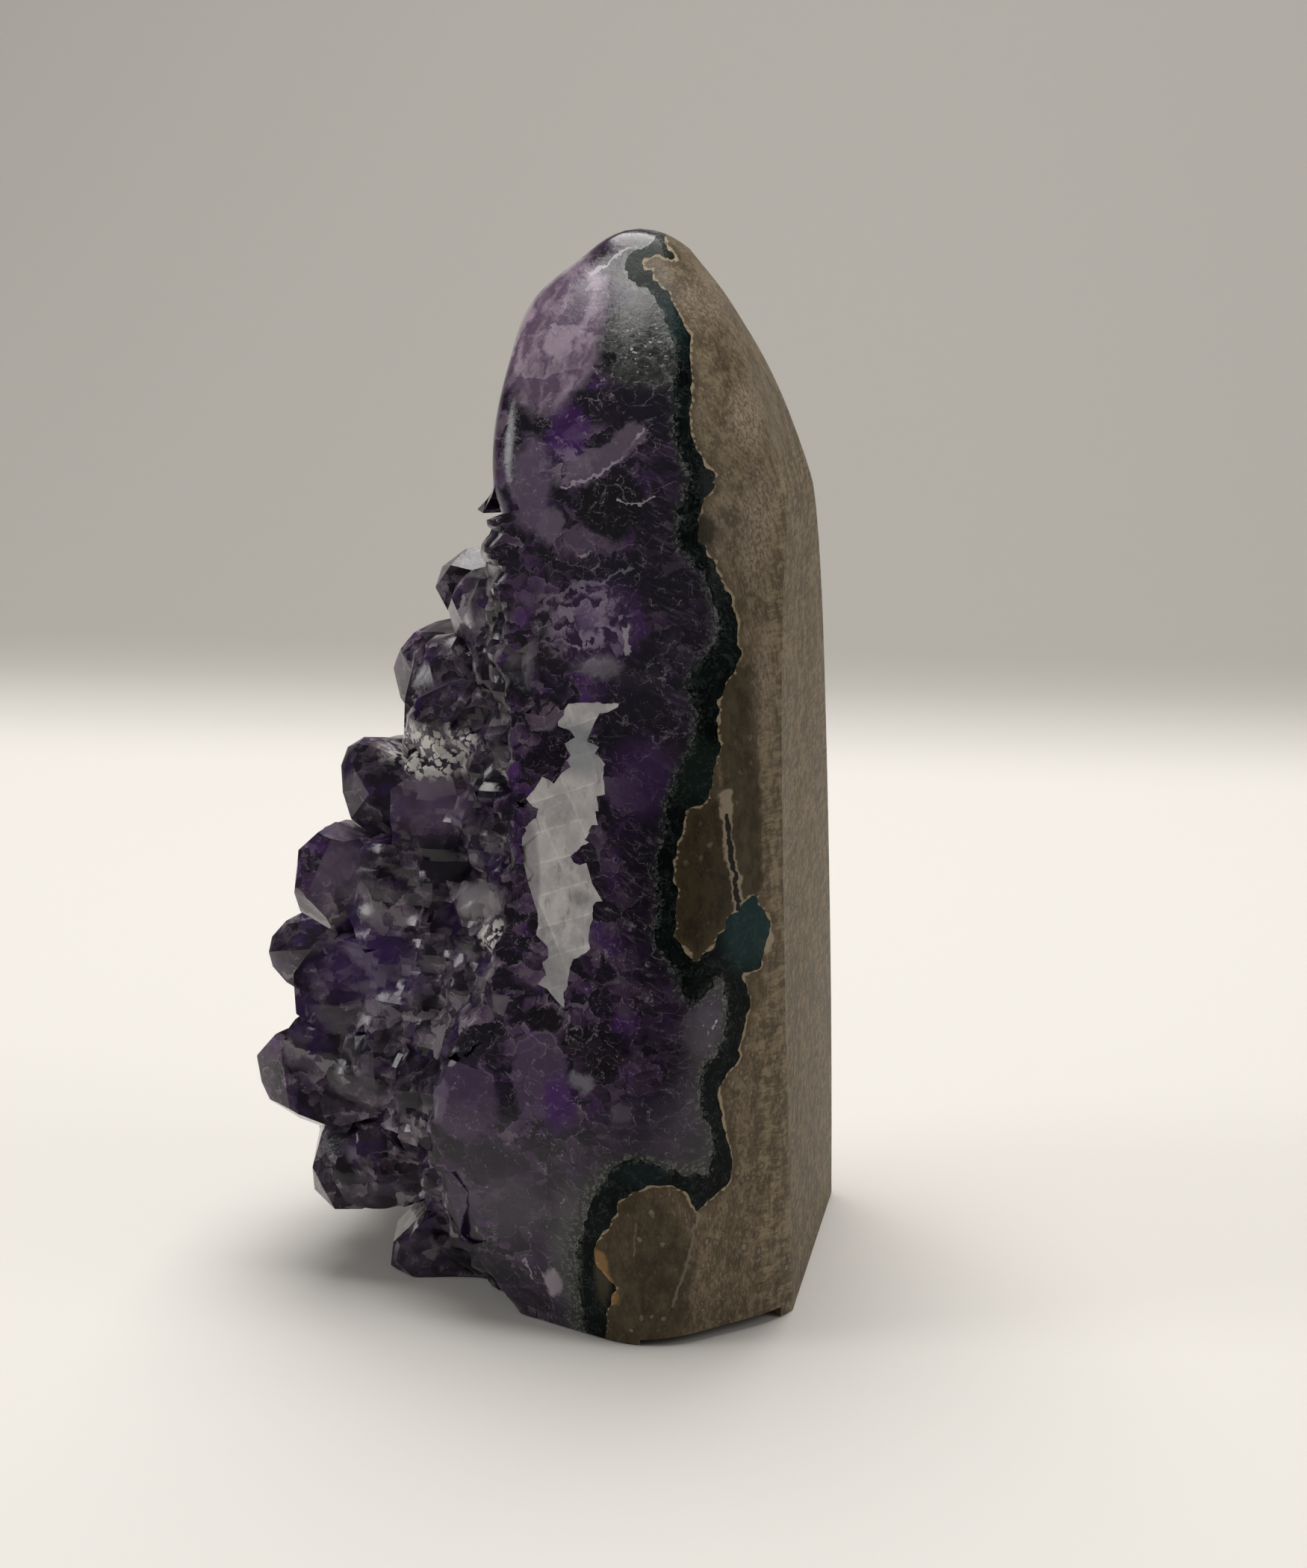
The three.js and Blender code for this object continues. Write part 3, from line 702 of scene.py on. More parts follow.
TOUCH = 5e-5                       # metres
for layer in (basalt, lining, amethyst, calcite):
    crumbs = keep_largest(layer)
    points = plan_points(layer)
    store(layer, "from_basalt", distance_to(points, basalt_line))
    store(layer, "from_amethyst", distance_to(points, amethyst_line))
    store(layer, "polished", [is_ground(vertex) for vertex in layer.data.vertices])
    print(layer.name, "lost", crumbs, "crumbs and has", len(points), "vertices")

# %% [markdown]
# ## Smooth where polished, sharp where grown
# A polished end is smooth all over, and a crystal's faces meet in crisp edges. Smooth shading
# with a sharp-edge angle gives both from one mesh, so no face has to be picked by hand.

# %% Shading by angle
SHARP_ANGLE = math.radians(24)


def shade(thing):
    for polygon in thing.data.polygons:
        polygon.use_smooth = True
    thing.data.set_sharp_from_angle(angle=SHARP_ANGLE)


for layer in (basalt, lining, amethyst, calcite):
    shade(layer)

# %% [markdown]
# ## A bench for building finishes
# Every finish below is a small circuit of nodes. Wiring each one by hand takes four lines a
# node, so a bench with short names keeps the circuits readable. It works for a material and
# for a node group alike.

# %% The bench
class Bench:
    def __init__(self, tree):
        self.tree = tree

    def add(self, kind, settings=None, **inputs):
        made = self.tree.nodes.new(kind)
        for key, value in (settings or {}).items():
            setattr(made, key, value)
        for key, value in inputs.items():
            self.feed(made.inputs[key.replace("_", " ")], value)
        return made

    def feed(self, socket, value):
        if isinstance(value, bpy.types.NodeSocket):
            self.tree.links.new(value, socket)
        else:
            socket.default_value = value

    def math(self, operation, a, b=0.0, clamp=False):
        made = self.add("ShaderNodeMath", {"operation": operation, "use_clamp": clamp})
        self.feed(made.inputs[0], a)
        self.feed(made.inputs[1], b)
        return made.outputs[0]

    def vector(self, operation, a, b=(0, 0, 0)):
        made = self.add("ShaderNodeVectorMath", {"operation": operation})
        self.feed(made.inputs[0], a)
        self.feed(made.inputs[1], b)
        return made.outputs["Value" if operation in ("LENGTH", "DOT_PRODUCT") else "Vector"]

    def between(self, value, low, high, start=0.0, end=1.0):
        """Maps low..high smoothly to start..end and holds it outside."""
        made = self.add("ShaderNodeMapRange", {"interpolation_type": "SMOOTHSTEP"})
        for socket, given in zip(made.inputs, (value, low, high, start, end)):
            self.feed(socket, given)
        return made.outputs[0]

    def noise(self, where, size, detail=3.0, roughness=0.55, distortion=0.0):
        made = self.add("ShaderNodeTexNoise", Vector=where, Scale=1 / size, Detail=detail,
                        Roughness=roughness, Distortion=distortion)
        return made.outputs[0]

    def cells(self, where, size):
        """The distance to the middle of the nearest cell, for cells of this size."""
        return self.add("ShaderNodeTexVoronoi", Vector=where, Scale=1 / size).outputs["Distance"]

    def mix(self, share, a, b):
        made = self.add("ShaderNodeMix", {"data_type": "RGBA"})
        for key, value in ((0, share), (6, a), (7, b)):
            if isinstance(value, tuple):
                value = (*value, 1.0)
            self.feed(made.inputs[key], value)
        return made.outputs[2]

    def known(self, name):
        return self.add("ShaderNodeAttribute", {"attribute_name": name}).outputs["Fac"]

    def group(self, tree, **inputs):
        made = self.add("ShaderNodeGroup", {"node_tree": tree})
        for key, value in inputs.items():
            self.feed(made.inputs[key.replace("_", " ")], value)
        return made


def new_group(name, inputs, outputs):
    """An empty node group with named sockets, and its bench, input and output nodes."""
    tree = bpy.data.node_groups.new(name, "ShaderNodeTree")
    kinds = {float: "NodeSocketFloat", tuple: "NodeSocketVector"}
    for key, value in inputs.items():
        socket = tree.interface.new_socket(key, in_out="INPUT", socket_type=kinds[type(value)])
        socket.default_value = value
    for key, kind in outputs.items():
        tree.interface.new_socket(key, in_out="OUTPUT", socket_type=kind)
    bench = Bench(tree)
    return tree, bench, bench.add("NodeGroupInput").outputs, bench.add("NodeGroupOutput").inputs


def new_material(name):
    material = bpy.data.materials.new(name)
    material.use_nodes = True
    material.node_tree.nodes.clear()
    bench = Bench(material.node_tree)
    shader = bench.add("ShaderNodeBsdfPrincipled")
    output = bench.add("ShaderNodeOutputMaterial")
    bench.feed(output.inputs["Surface"], shader.outputs[0])
    return material, bench, shader, output


# %% [markdown]
# ## Effects that the finishes are built from
# Each effect is one group, placed with its own values wherever it is needed. A place in plan
# millimetres, so that every finish can speak the stone's own sizes. A warp, which bends places
# a little, so that the given marks get natural edges. A patch and a stroke, which mark a
# chosen spot or a line. Filaments, the bright threads that healed cracks leave. Shards, the
# angular pieces that clear quartz breaks into, each with its own tone, a painted shading that
# grows lighter toward one side as on a tilted facet, and some with a pale rim.
# Grains, the sugar-fine crystals that sparkle or ring each other. And scratches, the straight
# marks of sanding.

# %% Group: plan millimetres
place_tree, b, _, out = new_group("Plan millimetres", {}, {"Place": "NodeSocketVector"})
here = b.add("ShaderNodeTexCoord").outputs["Object"]
scaled = b.vector("MULTIPLY", here, (1 / MM, 1 / MM, 1 / MM))
b.feed(out["Place"], b.vector("SUBTRACT", scaled, tuple(SHIFT)))

# %% Group: warp
warp_tree, b, given, out = new_group(
    "Warp", {"Place": (0.0, 0.0, 0.0), "Size": 3.0, "Reach": 1.0}, {"Place": "NodeSocketVector"})
bend = b.add("ShaderNodeTexNoise", Vector=given["Place"], Detail=3.0, Roughness=0.6,
             Scale=b.math("DIVIDE", 1.0, given["Size"])).outputs["Color"]
strength = b.math("MULTIPLY", given["Reach"], 4.0)
spread = b.add("ShaderNodeCombineXYZ", X=strength, Y=strength, Z=strength).outputs[0]
push = b.vector("MULTIPLY", b.vector("SUBTRACT", bend, (0.5, 0.5, 0.5)), spread)
b.feed(out["Place"], b.vector("ADD", given["Place"], push))

# %% Group: patch
patch_tree, b, given, out = new_group(
    "Patch", {"Place": (0.0, 0.0, 0.0), "Centre": (0.0, 0.0, 0.0), "Size": (1.0, 1.0, 1.0), "Soft": 0.15},
    {"Mask": "NodeSocketFloat"})
away = b.vector("DIVIDE", b.vector("SUBTRACT", given["Place"], given["Centre"]), given["Size"])
inner = b.math("SUBTRACT", 1.0, given["Soft"])
outer = b.math("ADD", 1.0, given["Soft"])
b.feed(out["Mask"], b.between(b.vector("LENGTH", away), inner, outer, 1.0, 0.0))

# %% Group: stroke
stroke_tree, b, given, out = new_group(
    "Stroke", {"Place": (0.0, 0.0, 0.0), "Start": (0.0, 0.0, 0.0), "End": (1.0, 0.0, 0.0), "Width": 1.0,
               "Soft": 0.5}, {"Mask": "NodeSocketFloat"})
FLATTEN_X = (0.15, 1, 1)           # a stroke is a line on the polished end, so X hardly counts
start = b.vector("MULTIPLY", given["Start"], FLATTEN_X)
along = b.vector("SUBTRACT", b.vector("MULTIPLY", given["End"], FLATTEN_X), start)
away = b.vector("SUBTRACT", b.vector("MULTIPLY", given["Place"], FLATTEN_X), start)
on_line = b.vector("DOT_PRODUCT", away, along)
share = b.math("DIVIDE", on_line, b.vector("DOT_PRODUCT", along, along), clamp=True)
reached = b.vector("MULTIPLY", along, b.add("ShaderNodeCombineXYZ", X=share, Y=share, Z=share).outputs[0])
off = b.vector("LENGTH", b.vector("SUBTRACT", away, reached))
inner = b.math("MULTIPLY", given["Width"], b.math("SUBTRACT", 1.0, given["Soft"]))
b.feed(out["Mask"], b.between(off, inner, given["Width"], 1.0, 0.0))

# %% Group: filaments
filament_tree, b, given, out = new_group(
    "Filaments", {"Place": (0.0, 0.0, 0.0), "Size": 4.0, "Thin": 0.03, "Often": 0.5},
    {"Lines": "NodeSocketFloat"})
scale = b.math("DIVIDE", 1.0, given["Size"])
field = b.add("ShaderNodeTexNoise", Vector=given["Place"], Scale=scale, Detail=2.5,
              Distortion=1.3).outputs[0]
thread = b.between(b.math("ABSOLUTE", b.math("SUBTRACT", field, 0.5)), 0.0, given["Thin"], 1.0, 0.0)
elsewhere = b.vector("ADD", given["Place"], (31, 17, 5))
gate = b.add("ShaderNodeTexNoise", Vector=elsewhere, Scale=b.math("MULTIPLY", scale, 0.9),
             Detail=2.0).outputs[0]
rare = b.math("SUBTRACT", 1.02, given["Often"])
b.feed(out["Lines"], b.math("MULTIPLY", thread, b.between(gate, b.math("SUBTRACT", rare, 0.06), rare)))

# %% Group: shards
shard_tree, b, given, out = new_group(
    "Shards", {"Place": (0.0, 0.0, 0.0), "Size": 5.0, "Thin": 0.04},
    {"Tone": "NodeSocketFloat", "Rims": "NodeSocketFloat"})
scale = b.math("DIVIDE", 1.0, given["Size"])
shard = b.add("ShaderNodeTexVoronoi", Vector=given["Place"], Scale=scale)
draw = b.vector("SUBTRACT", shard.outputs["Color"], (0.5, 0.5, 0.5))
# Painted shading: each shard turns lighter toward one side, as a tilted facet would under the light
inside = b.vector("SUBTRACT", given["Place"], shard.outputs["Position"])
painted_shard_shading = b.math("MULTIPLY", b.vector("DOT_PRODUCT", inside, draw), scale)
drawn = b.add("ShaderNodeSeparateXYZ", Vector=draw)
own = b.math("ADD", b.math("MULTIPLY", drawn.outputs["X"], 0.55), 0.5)
b.feed(out["Tone"], b.math("ADD", own, b.math("MULTIPLY", painted_shard_shading, 1.3)))
rim = b.add("ShaderNodeTexVoronoi", {"feature": "DISTANCE_TO_EDGE"}, Vector=given["Place"], Scale=scale)
rim_line = b.between(rim.outputs["Distance"], 0.0, given["Thin"], 1.0, 0.0)
b.feed(out["Rims"], b.math("MULTIPLY", rim_line, b.between(drawn.outputs["Y"], 0.10, 0.22)))

# %% Group: grains
grain_tree, b, given, out = new_group(
    "Grains", {"Place": (0.0, 0.0, 0.0), "Size": 0.8},
    {"Rings": "NodeSocketFloat", "Sparks": "NodeSocketFloat"})
cell = b.add("ShaderNodeTexVoronoi", Vector=given["Place"], Scale=b.math("DIVIDE", 1.0, given["Size"]))
near = cell.outputs["Distance"]
draw = b.add("ShaderNodeSeparateColor", Color=cell.outputs["Color"])
b.feed(out["Rings"], b.math("MULTIPLY", b.between(near, 0.18, 0.3), b.between(near, 0.52, 0.38)))
b.feed(out["Sparks"], b.math("MULTIPLY", b.between(near, 0.36, 0.2), b.between(draw.outputs[1], 0.72, 0.8)))

# %% Group: scratches
scratch_tree, b, given, out = new_group(
    "Scratches", {"Place": (0.0, 0.0, 0.0), "Run": (0.05, 0.05, 2.2)}, {"Height": "NodeSocketFloat"})
stretched = b.vector("MULTIPLY", given["Place"], given["Run"])
b.feed(out["Height"], b.add("ShaderNodeTexNoise", Vector=stretched, Scale=1.0, Detail=5.0,
                            Roughness=0.7).outputs[0])
print("shared effects:", [tree.name for tree in bpy.data.node_groups])


# %% Marks laid on a colour one after another
def with_patches(b, place, body, marks):
    for colour, share, centre, size, soft in marks:
        mask = b.group(patch_tree, Place=place, Centre=centre, Size=size, Soft=soft).outputs[0]
        body = b.mix(b.math("MULTIPLY", mask, share), body, colour)
    return body


def with_strokes(b, place, body, marks):
    for colour, share, points, width, soft in marks:
        masks = [b.group(stroke_tree, Place=place, Start=start, End=end, Width=width, Soft=soft).outputs[0]
                 for start, end in zip(points, points[1:])]
        whole = masks[0]
        for mask in masks[1:]:
            whole = b.math("MAXIMUM", whole, mask)
        body = b.mix(b.math("MULTIPLY", whole, share), body, colour)
    return body


# %% [markdown]
# ## Basalt
# The wall rock is grey-brown and fine-grained, with small ringed pores low down, an olive
# tongue inside the lining and a thin cream line along it. A crack has opened beside the
# tongue. The back is paler, because the saw and the belt left fine level marks there. One
# material does all of it, since it is one rock, and masks decide which look shows where.

# %% Basalt finish
basalt_finish, b, shader, _ = new_material("ground basalt")
place = b.group(place_tree).outputs["Place"]
bent = b.group(warp_tree, Place=place, Size=2.6, Reach=0.5).outputs[0]
axes = b.add("ShaderNodeSeparateXYZ", Vector=place)
rind = b.known("from_basalt")
upright = b.vector("MULTIPLY", place, (1, 1, 0.55))
coarse = b.noise(upright, 5, 5, 0.65)
middle = b.noise(upright, 1.7, 5, 0.7)
fine = b.noise(upright, 0.42, 3, 0.7)
body = b.mix(b.between(coarse, 0.42, 0.58), (0.098, 0.070, 0.040), (0.168, 0.126, 0.075))
body = b.mix(b.between(middle, 0.48, 0.60, 0, 0.5), body, (0.255, 0.196, 0.128))
body = b.mix(b.between(middle, 0.47, 0.36, 0, 0.65), body, (0.060, 0.044, 0.026))
body = b.mix(b.between(fine, 0.52, 0.66, 0, 0.7), body, (0.052, 0.039, 0.025))
body = b.mix(b.between(fine, 0.44, 0.32, 0, 0.55), body, (0.330, 0.270, 0.195))

# Ground faces: everything past the corner where the polished end turns to the back
ground = b.between(b.math("ADD", axes.outputs["Y"], b.math("MULTIPLY", coarse, 1.6)), 31.0, 32.6)
marks = b.group(scratch_tree, Place=bent, Run=(0.22, 0.22, 1.9)).outputs[0]
marks = b.math("MULTIPLY", marks, b.between(middle, 0.30, 0.62, 0.55, 1.0))
pale = b.mix(b.between(marks, 0.30, 0.58), (0.088, 0.065, 0.038), (0.285, 0.220, 0.138))
body = b.mix(b.math("MULTIPLY", ground, 0.75), body, pale)

# Olive rock near the lining
OLIVE, OLIVE_DARK = (0.034, 0.023, 0.007), (0.014, 0.009, 0.003)
tongue = b.group(patch_tree, Place=bent, Centre=(40, 24.3, 65), Size=(40, 4.2, 12.5), Soft=0.08).outputs[0]
above = b.group(stroke_tree, Place=bent, Start=(34, 28.2, 91), End=(36, 29.4, 64), Width=2.7,
                Soft=0.22).outputs[0]
lobe = b.group(patch_tree, Place=bent, Centre=(44, 16, 9), Size=(30, 7.2, 13.5), Soft=0.12).outputs[0]
olive = b.math("MAXIMUM", tongue, b.math("MULTIPLY", above, 0.8))
olive = b.math("MAXIMUM", olive, b.math("MULTIPLY", lobe, 0.7))
olive_look = b.mix(b.between(middle, 0.36, 0.62), OLIVE_DARK, OLIVE)
olive_look = b.mix(b.between(fine, 0.5, 0.7, 0, 0.4), olive_look, (0.095, 0.072, 0.036))
body = b.mix(b.math("MULTIPLY", olive, 0.94), body, olive_look)

# Ringed pores, in the lower half and in the olive rock
pores = b.group(grain_tree, Place=bent, Size=1.5)
low = b.between(axes.outputs["Z"], 62, 34)
pore_share = b.math("MAXIMUM", b.math("MULTIPLY", low, 0.6), b.math("MULTIPLY", olive, 0.35))
pore_share = b.math("MULTIPLY", pore_share, b.between(coarse, 0.42, 0.56))
body = b.mix(b.math("MULTIPLY", pores.outputs["Rings"], pore_share), body, (0.050, 0.037, 0.022))
body = b.mix(b.math("MULTIPLY", pores.outputs["Sparks"], pore_share), body, (0.260, 0.220, 0.165))

# The cream line and the brown halo behind it
width = b.between(middle, 0.3, 0.7, 0.10, 0.42)
line = b.between(rind, width, b.math("ADD", width, 0.14), 1, 0)
body = b.mix(b.between(rind, 0.4, 1.3, 0.6, 0), body, (0.062, 0.042, 0.020))
body = b.mix(b.math("MULTIPLY", line, 0.9), body, b.mix(fine, (0.20, 0.145, 0.080), (0.46, 0.375, 0.255)))
CREAM, RUST = (0.42, 0.34, 0.24), (0.30, 0.165, 0.055)
ROSY = b.mix(b.between(fine, 0.40, 0.60), (0.340, 0.270, 0.205), (0.140, 0.104, 0.072))
body = with_strokes(b, bent, body, (
    (RUST, 0.7, ((43.9, 10.6, 12.6), (43.9, 12.2, 6.5)), 1.3, 0.5),
    (CREAM, 0.6, ((38, 26.9, 76.5), (37.8, 27.2, 71), (37.5, 28.1, 65.5), (37.3, 28.7, 60.5)), 0.75, 0.4),
    ((0.008, 0.006, 0.005), 1.0, ((37.9, 27.1, 73.5), (37.6, 28.0, 66), (37.3, 28.7, 60.5)), 0.34, 0.3),
    ((0.24, 0.20, 0.15), 0.55, ((41.6, 24, 18.5), (43, 20.6, 5.5)), 0.32, 0.6),
    ((0.32, 0.27, 0.20), 0.55, ((44.6, 15.9, 17.8), (44.6, 15.2, 13)), 0.22, 0.6),
    (CREAM, 0.8, ((6.7, 12.4, 147.9), (6.9, 14.4, 147.3), (7.1, 16.1, 146)), 0.3, 0.5)))
body = with_patches(b, bent, body, (
    (OLIVE_DARK, 0.85, (31.7, 23.3, 111.6), (6, 1.2, 2.2), 0.3),
    (CREAM, 0.7, (32.6, 32.0, 55.5), (4, 0.8, 2.2), 0.3),
    (ROSY, 0.8, (20, 27.6, 127), (9, 2.2, 5.5), 0.6),
    (ROSY, 0.7, (26, 29.8, 112), (9, 1.8, 8), 0.7),
    (ROSY, 0.6, (36, 31.6, 92), (9, 1.5, 9), 0.7),
    (ROSY, 0.5, (10, 21, 141), (9, 3.6, 4), 0.6)))

b.feed(shader.inputs["Base Color"], body)
b.feed(shader.inputs["Roughness"], b.math("ADD", b.between(middle, 0.35, 0.7, 0.40, 0.54),
                                          b.math("MULTIPLY", ground, 0.12)))
relief = b.math("ADD", b.math("MULTIPLY", fine, 0.5), b.math("MULTIPLY", middle, 0.8))
relief = b.math("ADD", relief, b.math("MULTIPLY", b.math("MULTIPLY", marks, ground), 1.4))
bump = b.add("ShaderNodeBump", Height=relief, Strength=0.3, Distance=0.0003)
b.feed(shader.inputs["Normal"], bump.outputs[0])
shader.inputs["Specular IOR Level"].default_value = 0.18

# %% [markdown]
# ## The dark lining
# Between rock and crystal runs a few millimetres of chalcedony stained almost black by green
# celadonite. Polished, it shows hair-thin growth lines that follow its edges, a painted
# blue-green sheen where it thickens, and a lace of pale beads where the quartz begins.

# %% Lining finish
lining_finish, b, shader, _ = new_material("green-black lining")
place = b.group(place_tree).outputs["Place"]
bent = b.group(warp_tree, Place=place, Size=1.8, Reach=0.35).outputs[0]
to_rock, to_quartz = b.known("from_basalt"), b.known("from_amethyst")
smoke = b.noise(bent, 2.6, 4, 0.65)
layered = b.math("ADD", to_rock, b.math("MULTIPLY", smoke, 0.8))
growth = b.between(b.math("SINE", b.math("MULTIPLY", layered, 10.0)), 0.45, 1.0)
body = b.mix(b.between(smoke, 0.35, 0.68), (0.0014, 0.0022, 0.0022), (0.0045, 0.0078, 0.0074))
body = b.mix(b.math("MULTIPLY", growth, 0.18), body, (0.016, 0.025, 0.022))
# Painted sheen: the teal patches stand for a blue-green sheen on the thick parts of the lining
TEAL_SHEEN = (0.016, 0.040, 0.042)
body = with_patches(b, bent, body, (
    (TEAL_SHEEN, 0.85, (36, 30.2, 57.5), (30, 3.4, 5.5), 0.4),
    (TEAL_SHEEN, 0.3, (44.8, 16.5, 24.6), (20, 3.6, 1.5), 0.5),
    ((0.014, 0.024, 0.019), 0.6, (39, 23, 80), (20, 3, 4), 0.5),
    (TEAL_SHEEN, 0.4, (16, 15, 138), (9, 4, 5), 0.5),
    ((0.045, 0.055, 0.045), 0.6, (7, 11, 147), (8, 5, 3), 0.5),
    ((0.10, 0.085, 0.055), 0.5, (43.9, 11, 9.5), (20, 1.2, 3.6), 0.5)))
grains = b.group(grain_tree, Place=bent, Size=0.75)
lace = b.math("MULTIPLY", b.between(to_quartz, 0.85, 0.2), grains.outputs["Rings"])
body = b.mix(b.math("MULTIPLY", lace, 0.7), body, (0.090, 0.104, 0.090))
swirl = b.group(filament_tree, Place=bent, Size=1.6, Thin=0.05, Often=0.52).outputs[0]
body = b.mix(b.math("MULTIPLY", swirl, 0.25), body, (0.07, 0.09, 0.085))
b.feed(shader.inputs["Base Color"], body)
b.feed(shader.inputs["Roughness"], b.between(smoke, 0.3, 0.7, 0.14, 0.24))
bump = b.add("ShaderNodeBump", Height=grains.outputs["Rings"], Strength=0.12, Distance=0.0002)
b.feed(shader.inputs["Normal"], bump.outputs[0])
shader.inputs["Specular IOR Level"].default_value = 0.06

# %% [markdown]
# ## Amethyst
# Amethyst is clear, but it is never empty: healed cracks, cloudy veils and colour zones fill
# it. The shader lets light through with quartz's own refraction, and its colour carries the
# inner structure. On the polished end the cut crystals show as lobes, fibres that run out
# from the lining, bright threads and the pale and black places that the photo shows; a few
# pale ones are painted highlights and one black one is a hole's painted shade. On the
# natural faces the colour is plainer, because there one looks into single crystals.

# %% Amethyst finish: the body of the quartz
amethyst_finish, b, shader, output = new_material("amethyst")
place = b.group(place_tree).outputs["Place"]
bent = b.group(warp_tree, Place=place, Size=2.4, Reach=0.75).outputs[0]
axes = b.add("ShaderNodeSeparateXYZ", Vector=place)
depth, polished = b.known("from_amethyst"), b.known("polished")
grains = b.group(grain_tree, Place=bent, Size=0.7)

BLACK, DARKEST, DARK = (0.0025, 0.0015, 0.0035), (0.0070, 0.0035, 0.0125), (0.019, 0.010, 0.032)
MID, VIOLET, GLOW = (0.094, 0.052, 0.112), (0.066, 0.020, 0.112), (0.088, 0.016, 0.175)
# The last colour is the pale of veils and cracks, and also of the painted glints and the painted ridge
# highlight
HAZE, VEIL_AND_GLINT = (0.185, 0.140, 0.188), (0.600, 0.520, 0.590)

cloud = b.noise(bent, 6.5, 5, 0.62)
mottle = b.noise(bent, 1.25, 5, 0.72, 0.8)
hue = b.noise(b.vector("ADD", place, (60, 0, 0)), 5.5, 3)
slanted = b.vector("MULTIPLY", bent, (0.8, 0.75, 1.15))
shards = b.group(shard_tree, Place=slanted, Size=5.2, Thin=0.035)
chips = b.group(shard_tree, Place=b.vector("ADD", slanted, (9, 4, 2)), Size=1.9, Thin=0.05)
tone = b.math("ADD", b.math("MULTIPLY", cloud, 0.28), b.math("MULTIPLY", mottle, 0.24))
tone = b.math("ADD", tone, b.math("MULTIPLY", shards.outputs["Tone"], 0.28))
tone = b.math("ADD", tone, b.math("MULTIPLY", chips.outputs["Tone"], 0.20))
cut = b.mix(b.between(tone, 0.43, 0.57), DARKEST, MID)
cut = b.mix(b.between(tone, 0.55, 0.68, 0, 0.85), cut, HAZE)
cut = b.mix(b.between(hue, 0.52, 0.66, 0, 0.8), cut, b.mix(b.between(tone, 0.40, 0.62), DARK, GLOW))

# Fibres that run out from the lining, over the darker belt beside it
run_out = b.add("ShaderNodeCombineXYZ", X=b.math("MULTIPLY", axes.outputs["X"], 0.4),
                Y=b.math("MULTIPLY", depth, 0.26),
                Z=b.math("SUBTRACT", axes.outputs["Z"], b.math("MULTIPLY", depth, 0.55))).outputs[0]
fibres = b.noise(run_out, 0.75, 4, 0.68, 0.5)
near_lining = b.between(depth, 13, 2)
cut = b.mix(b.math("MULTIPLY", near_lining, 0.72), cut, DARKEST)
fibre_share = b.math("MULTIPLY", near_lining, b.between(fibres, 0.52, 0.68, 0, 0.7))
cut = b.mix(fibre_share, cut, (0.125, 0.088, 0.135))

# %% Amethyst finish: looks for the larger places
grey_green = b.mix(b.between(mottle, 0.35, 0.65), (0.018, 0.020, 0.018), (0.075, 0.078, 0.072))
milk = b.noise(b.vector("MULTIPLY", bent, (0.5, 1, 0.4)), 1.9, 4)
milk = b.math("ADD", b.math("MULTIPLY", milk, 0.82), b.math("MULTIPLY", shards.outputs["Tone"], 0.18))
lilac_look = b.mix(b.between(milk, 0.38, 0.62), (0.165, 0.105, 0.172), (0.480, 0.370, 0.460))
frost = b.math("ADD", b.math("MULTIPLY", chips.outputs["Tone"], 0.5), b.math("MULTIPLY", mottle, 0.5))
frosted = b.mix(b.between(frost, 0.40, 0.60), (0.045, 0.018, 0.070), (0.420, 0.330, 0.450))

# %% Amethyst finish: places on the upper half of the polished end
cut = with_patches(b, bent, cut, (
    (lilac_look, 0.92, (14, 0, 136.5), (17, 7.4, 12.5), 0.14),
    ((0.24, 0.17, 0.27), 0.7, (28, -1.2, 117), (6, 3.0, 6.5), 0.25),
    (grey_green, 0.92, (19, 13.2, 135), (11, 6.6, 6.8), 0.16),
    ((0.030, 0.036, 0.030), 0.8, (9, 11.5, 146), (7, 4.2, 3.2), 0.3),
    (DARKEST, 0.9, (25.5, 11, 127.3), (9, 7.5, 2.7), 0.25),
    (GLOW, 0.55, (26.3, 3.8, 123.6), (5, 3.0, 4.4), 0.25),
    (BLACK, 0.97, (31.6, 10.4, 114.6), (8, 4.7, 4.3), 0.12),
    ((0.26, 0.21, 0.28), 0.7, (30, 1.8, 111.4), (5, 1.9, 2.4), 0.25),
    ((0.17, 0.13, 0.19), 0.6, (31.9, 6.2, 109.6), (5, 2.4, 1.9), 0.25),
    (DARKEST, 0.85, (33, 9, 106.4), (6, 7, 1.5), 0.4),
    ((0.014, 0.010, 0.018), 0.85, (33.4, 2.9, 97), (5, 2.9, 4.6), 0.2),
    (VIOLET, 0.6, (35.7, 10.8, 99.5), (6, 5.0, 5.6), 0.3),
    (frosted, 0.75, (35.4, 7.6, 98.6), (6, 6.0, 5.4), 0.3),
    ((0.30, 0.19, 0.36), 0.5, (35.2, 7.6, 99.4), (5, 1.8, 1.6), 0.6),
    ((0.30, 0.27, 0.31), 0.6, (36.5, 9.6, 93.4), (6, 3.4, 1.5), 0.4),
    (frosted, 0.6, (29, 4.4, 119.4), (6, 4.6, 2.4), 0.4),
    ((0.030, 0.022, 0.036), 0.8, (38.6, 16.2, 92.3), (5, 2.3, 1.4), 0.15),
    (DARKEST, 0.7, (39.4, 13.5, 87.5), (8, 4.5, 4.5), 0.4),
    (VIOLET, 0.6, (40.5, 16.1, 79), (6, 4.6, 5.2), 0.4),
    (BLACK, 0.95, (39.6, 2.2, 44.7), (6, 3.0, 1.9), 0.2),
    ((0.20, 0.15, 0.19), 0.7, (35, 1.4, 86.2), (4, 2.6, 2.0), 0.2),
    (DARKEST, 0.9, (38.9, 8.0, 67.8), (5, 1.6, 1.5), 0.2),
    (DARKEST, 0.8, (38, 12.6, 87.6), (6, 2.8, 3.0), 0.3),
    (BLACK, 0.85, (42.9, 9.8, 42), (7, 5.6, 3.3), 0.35)))

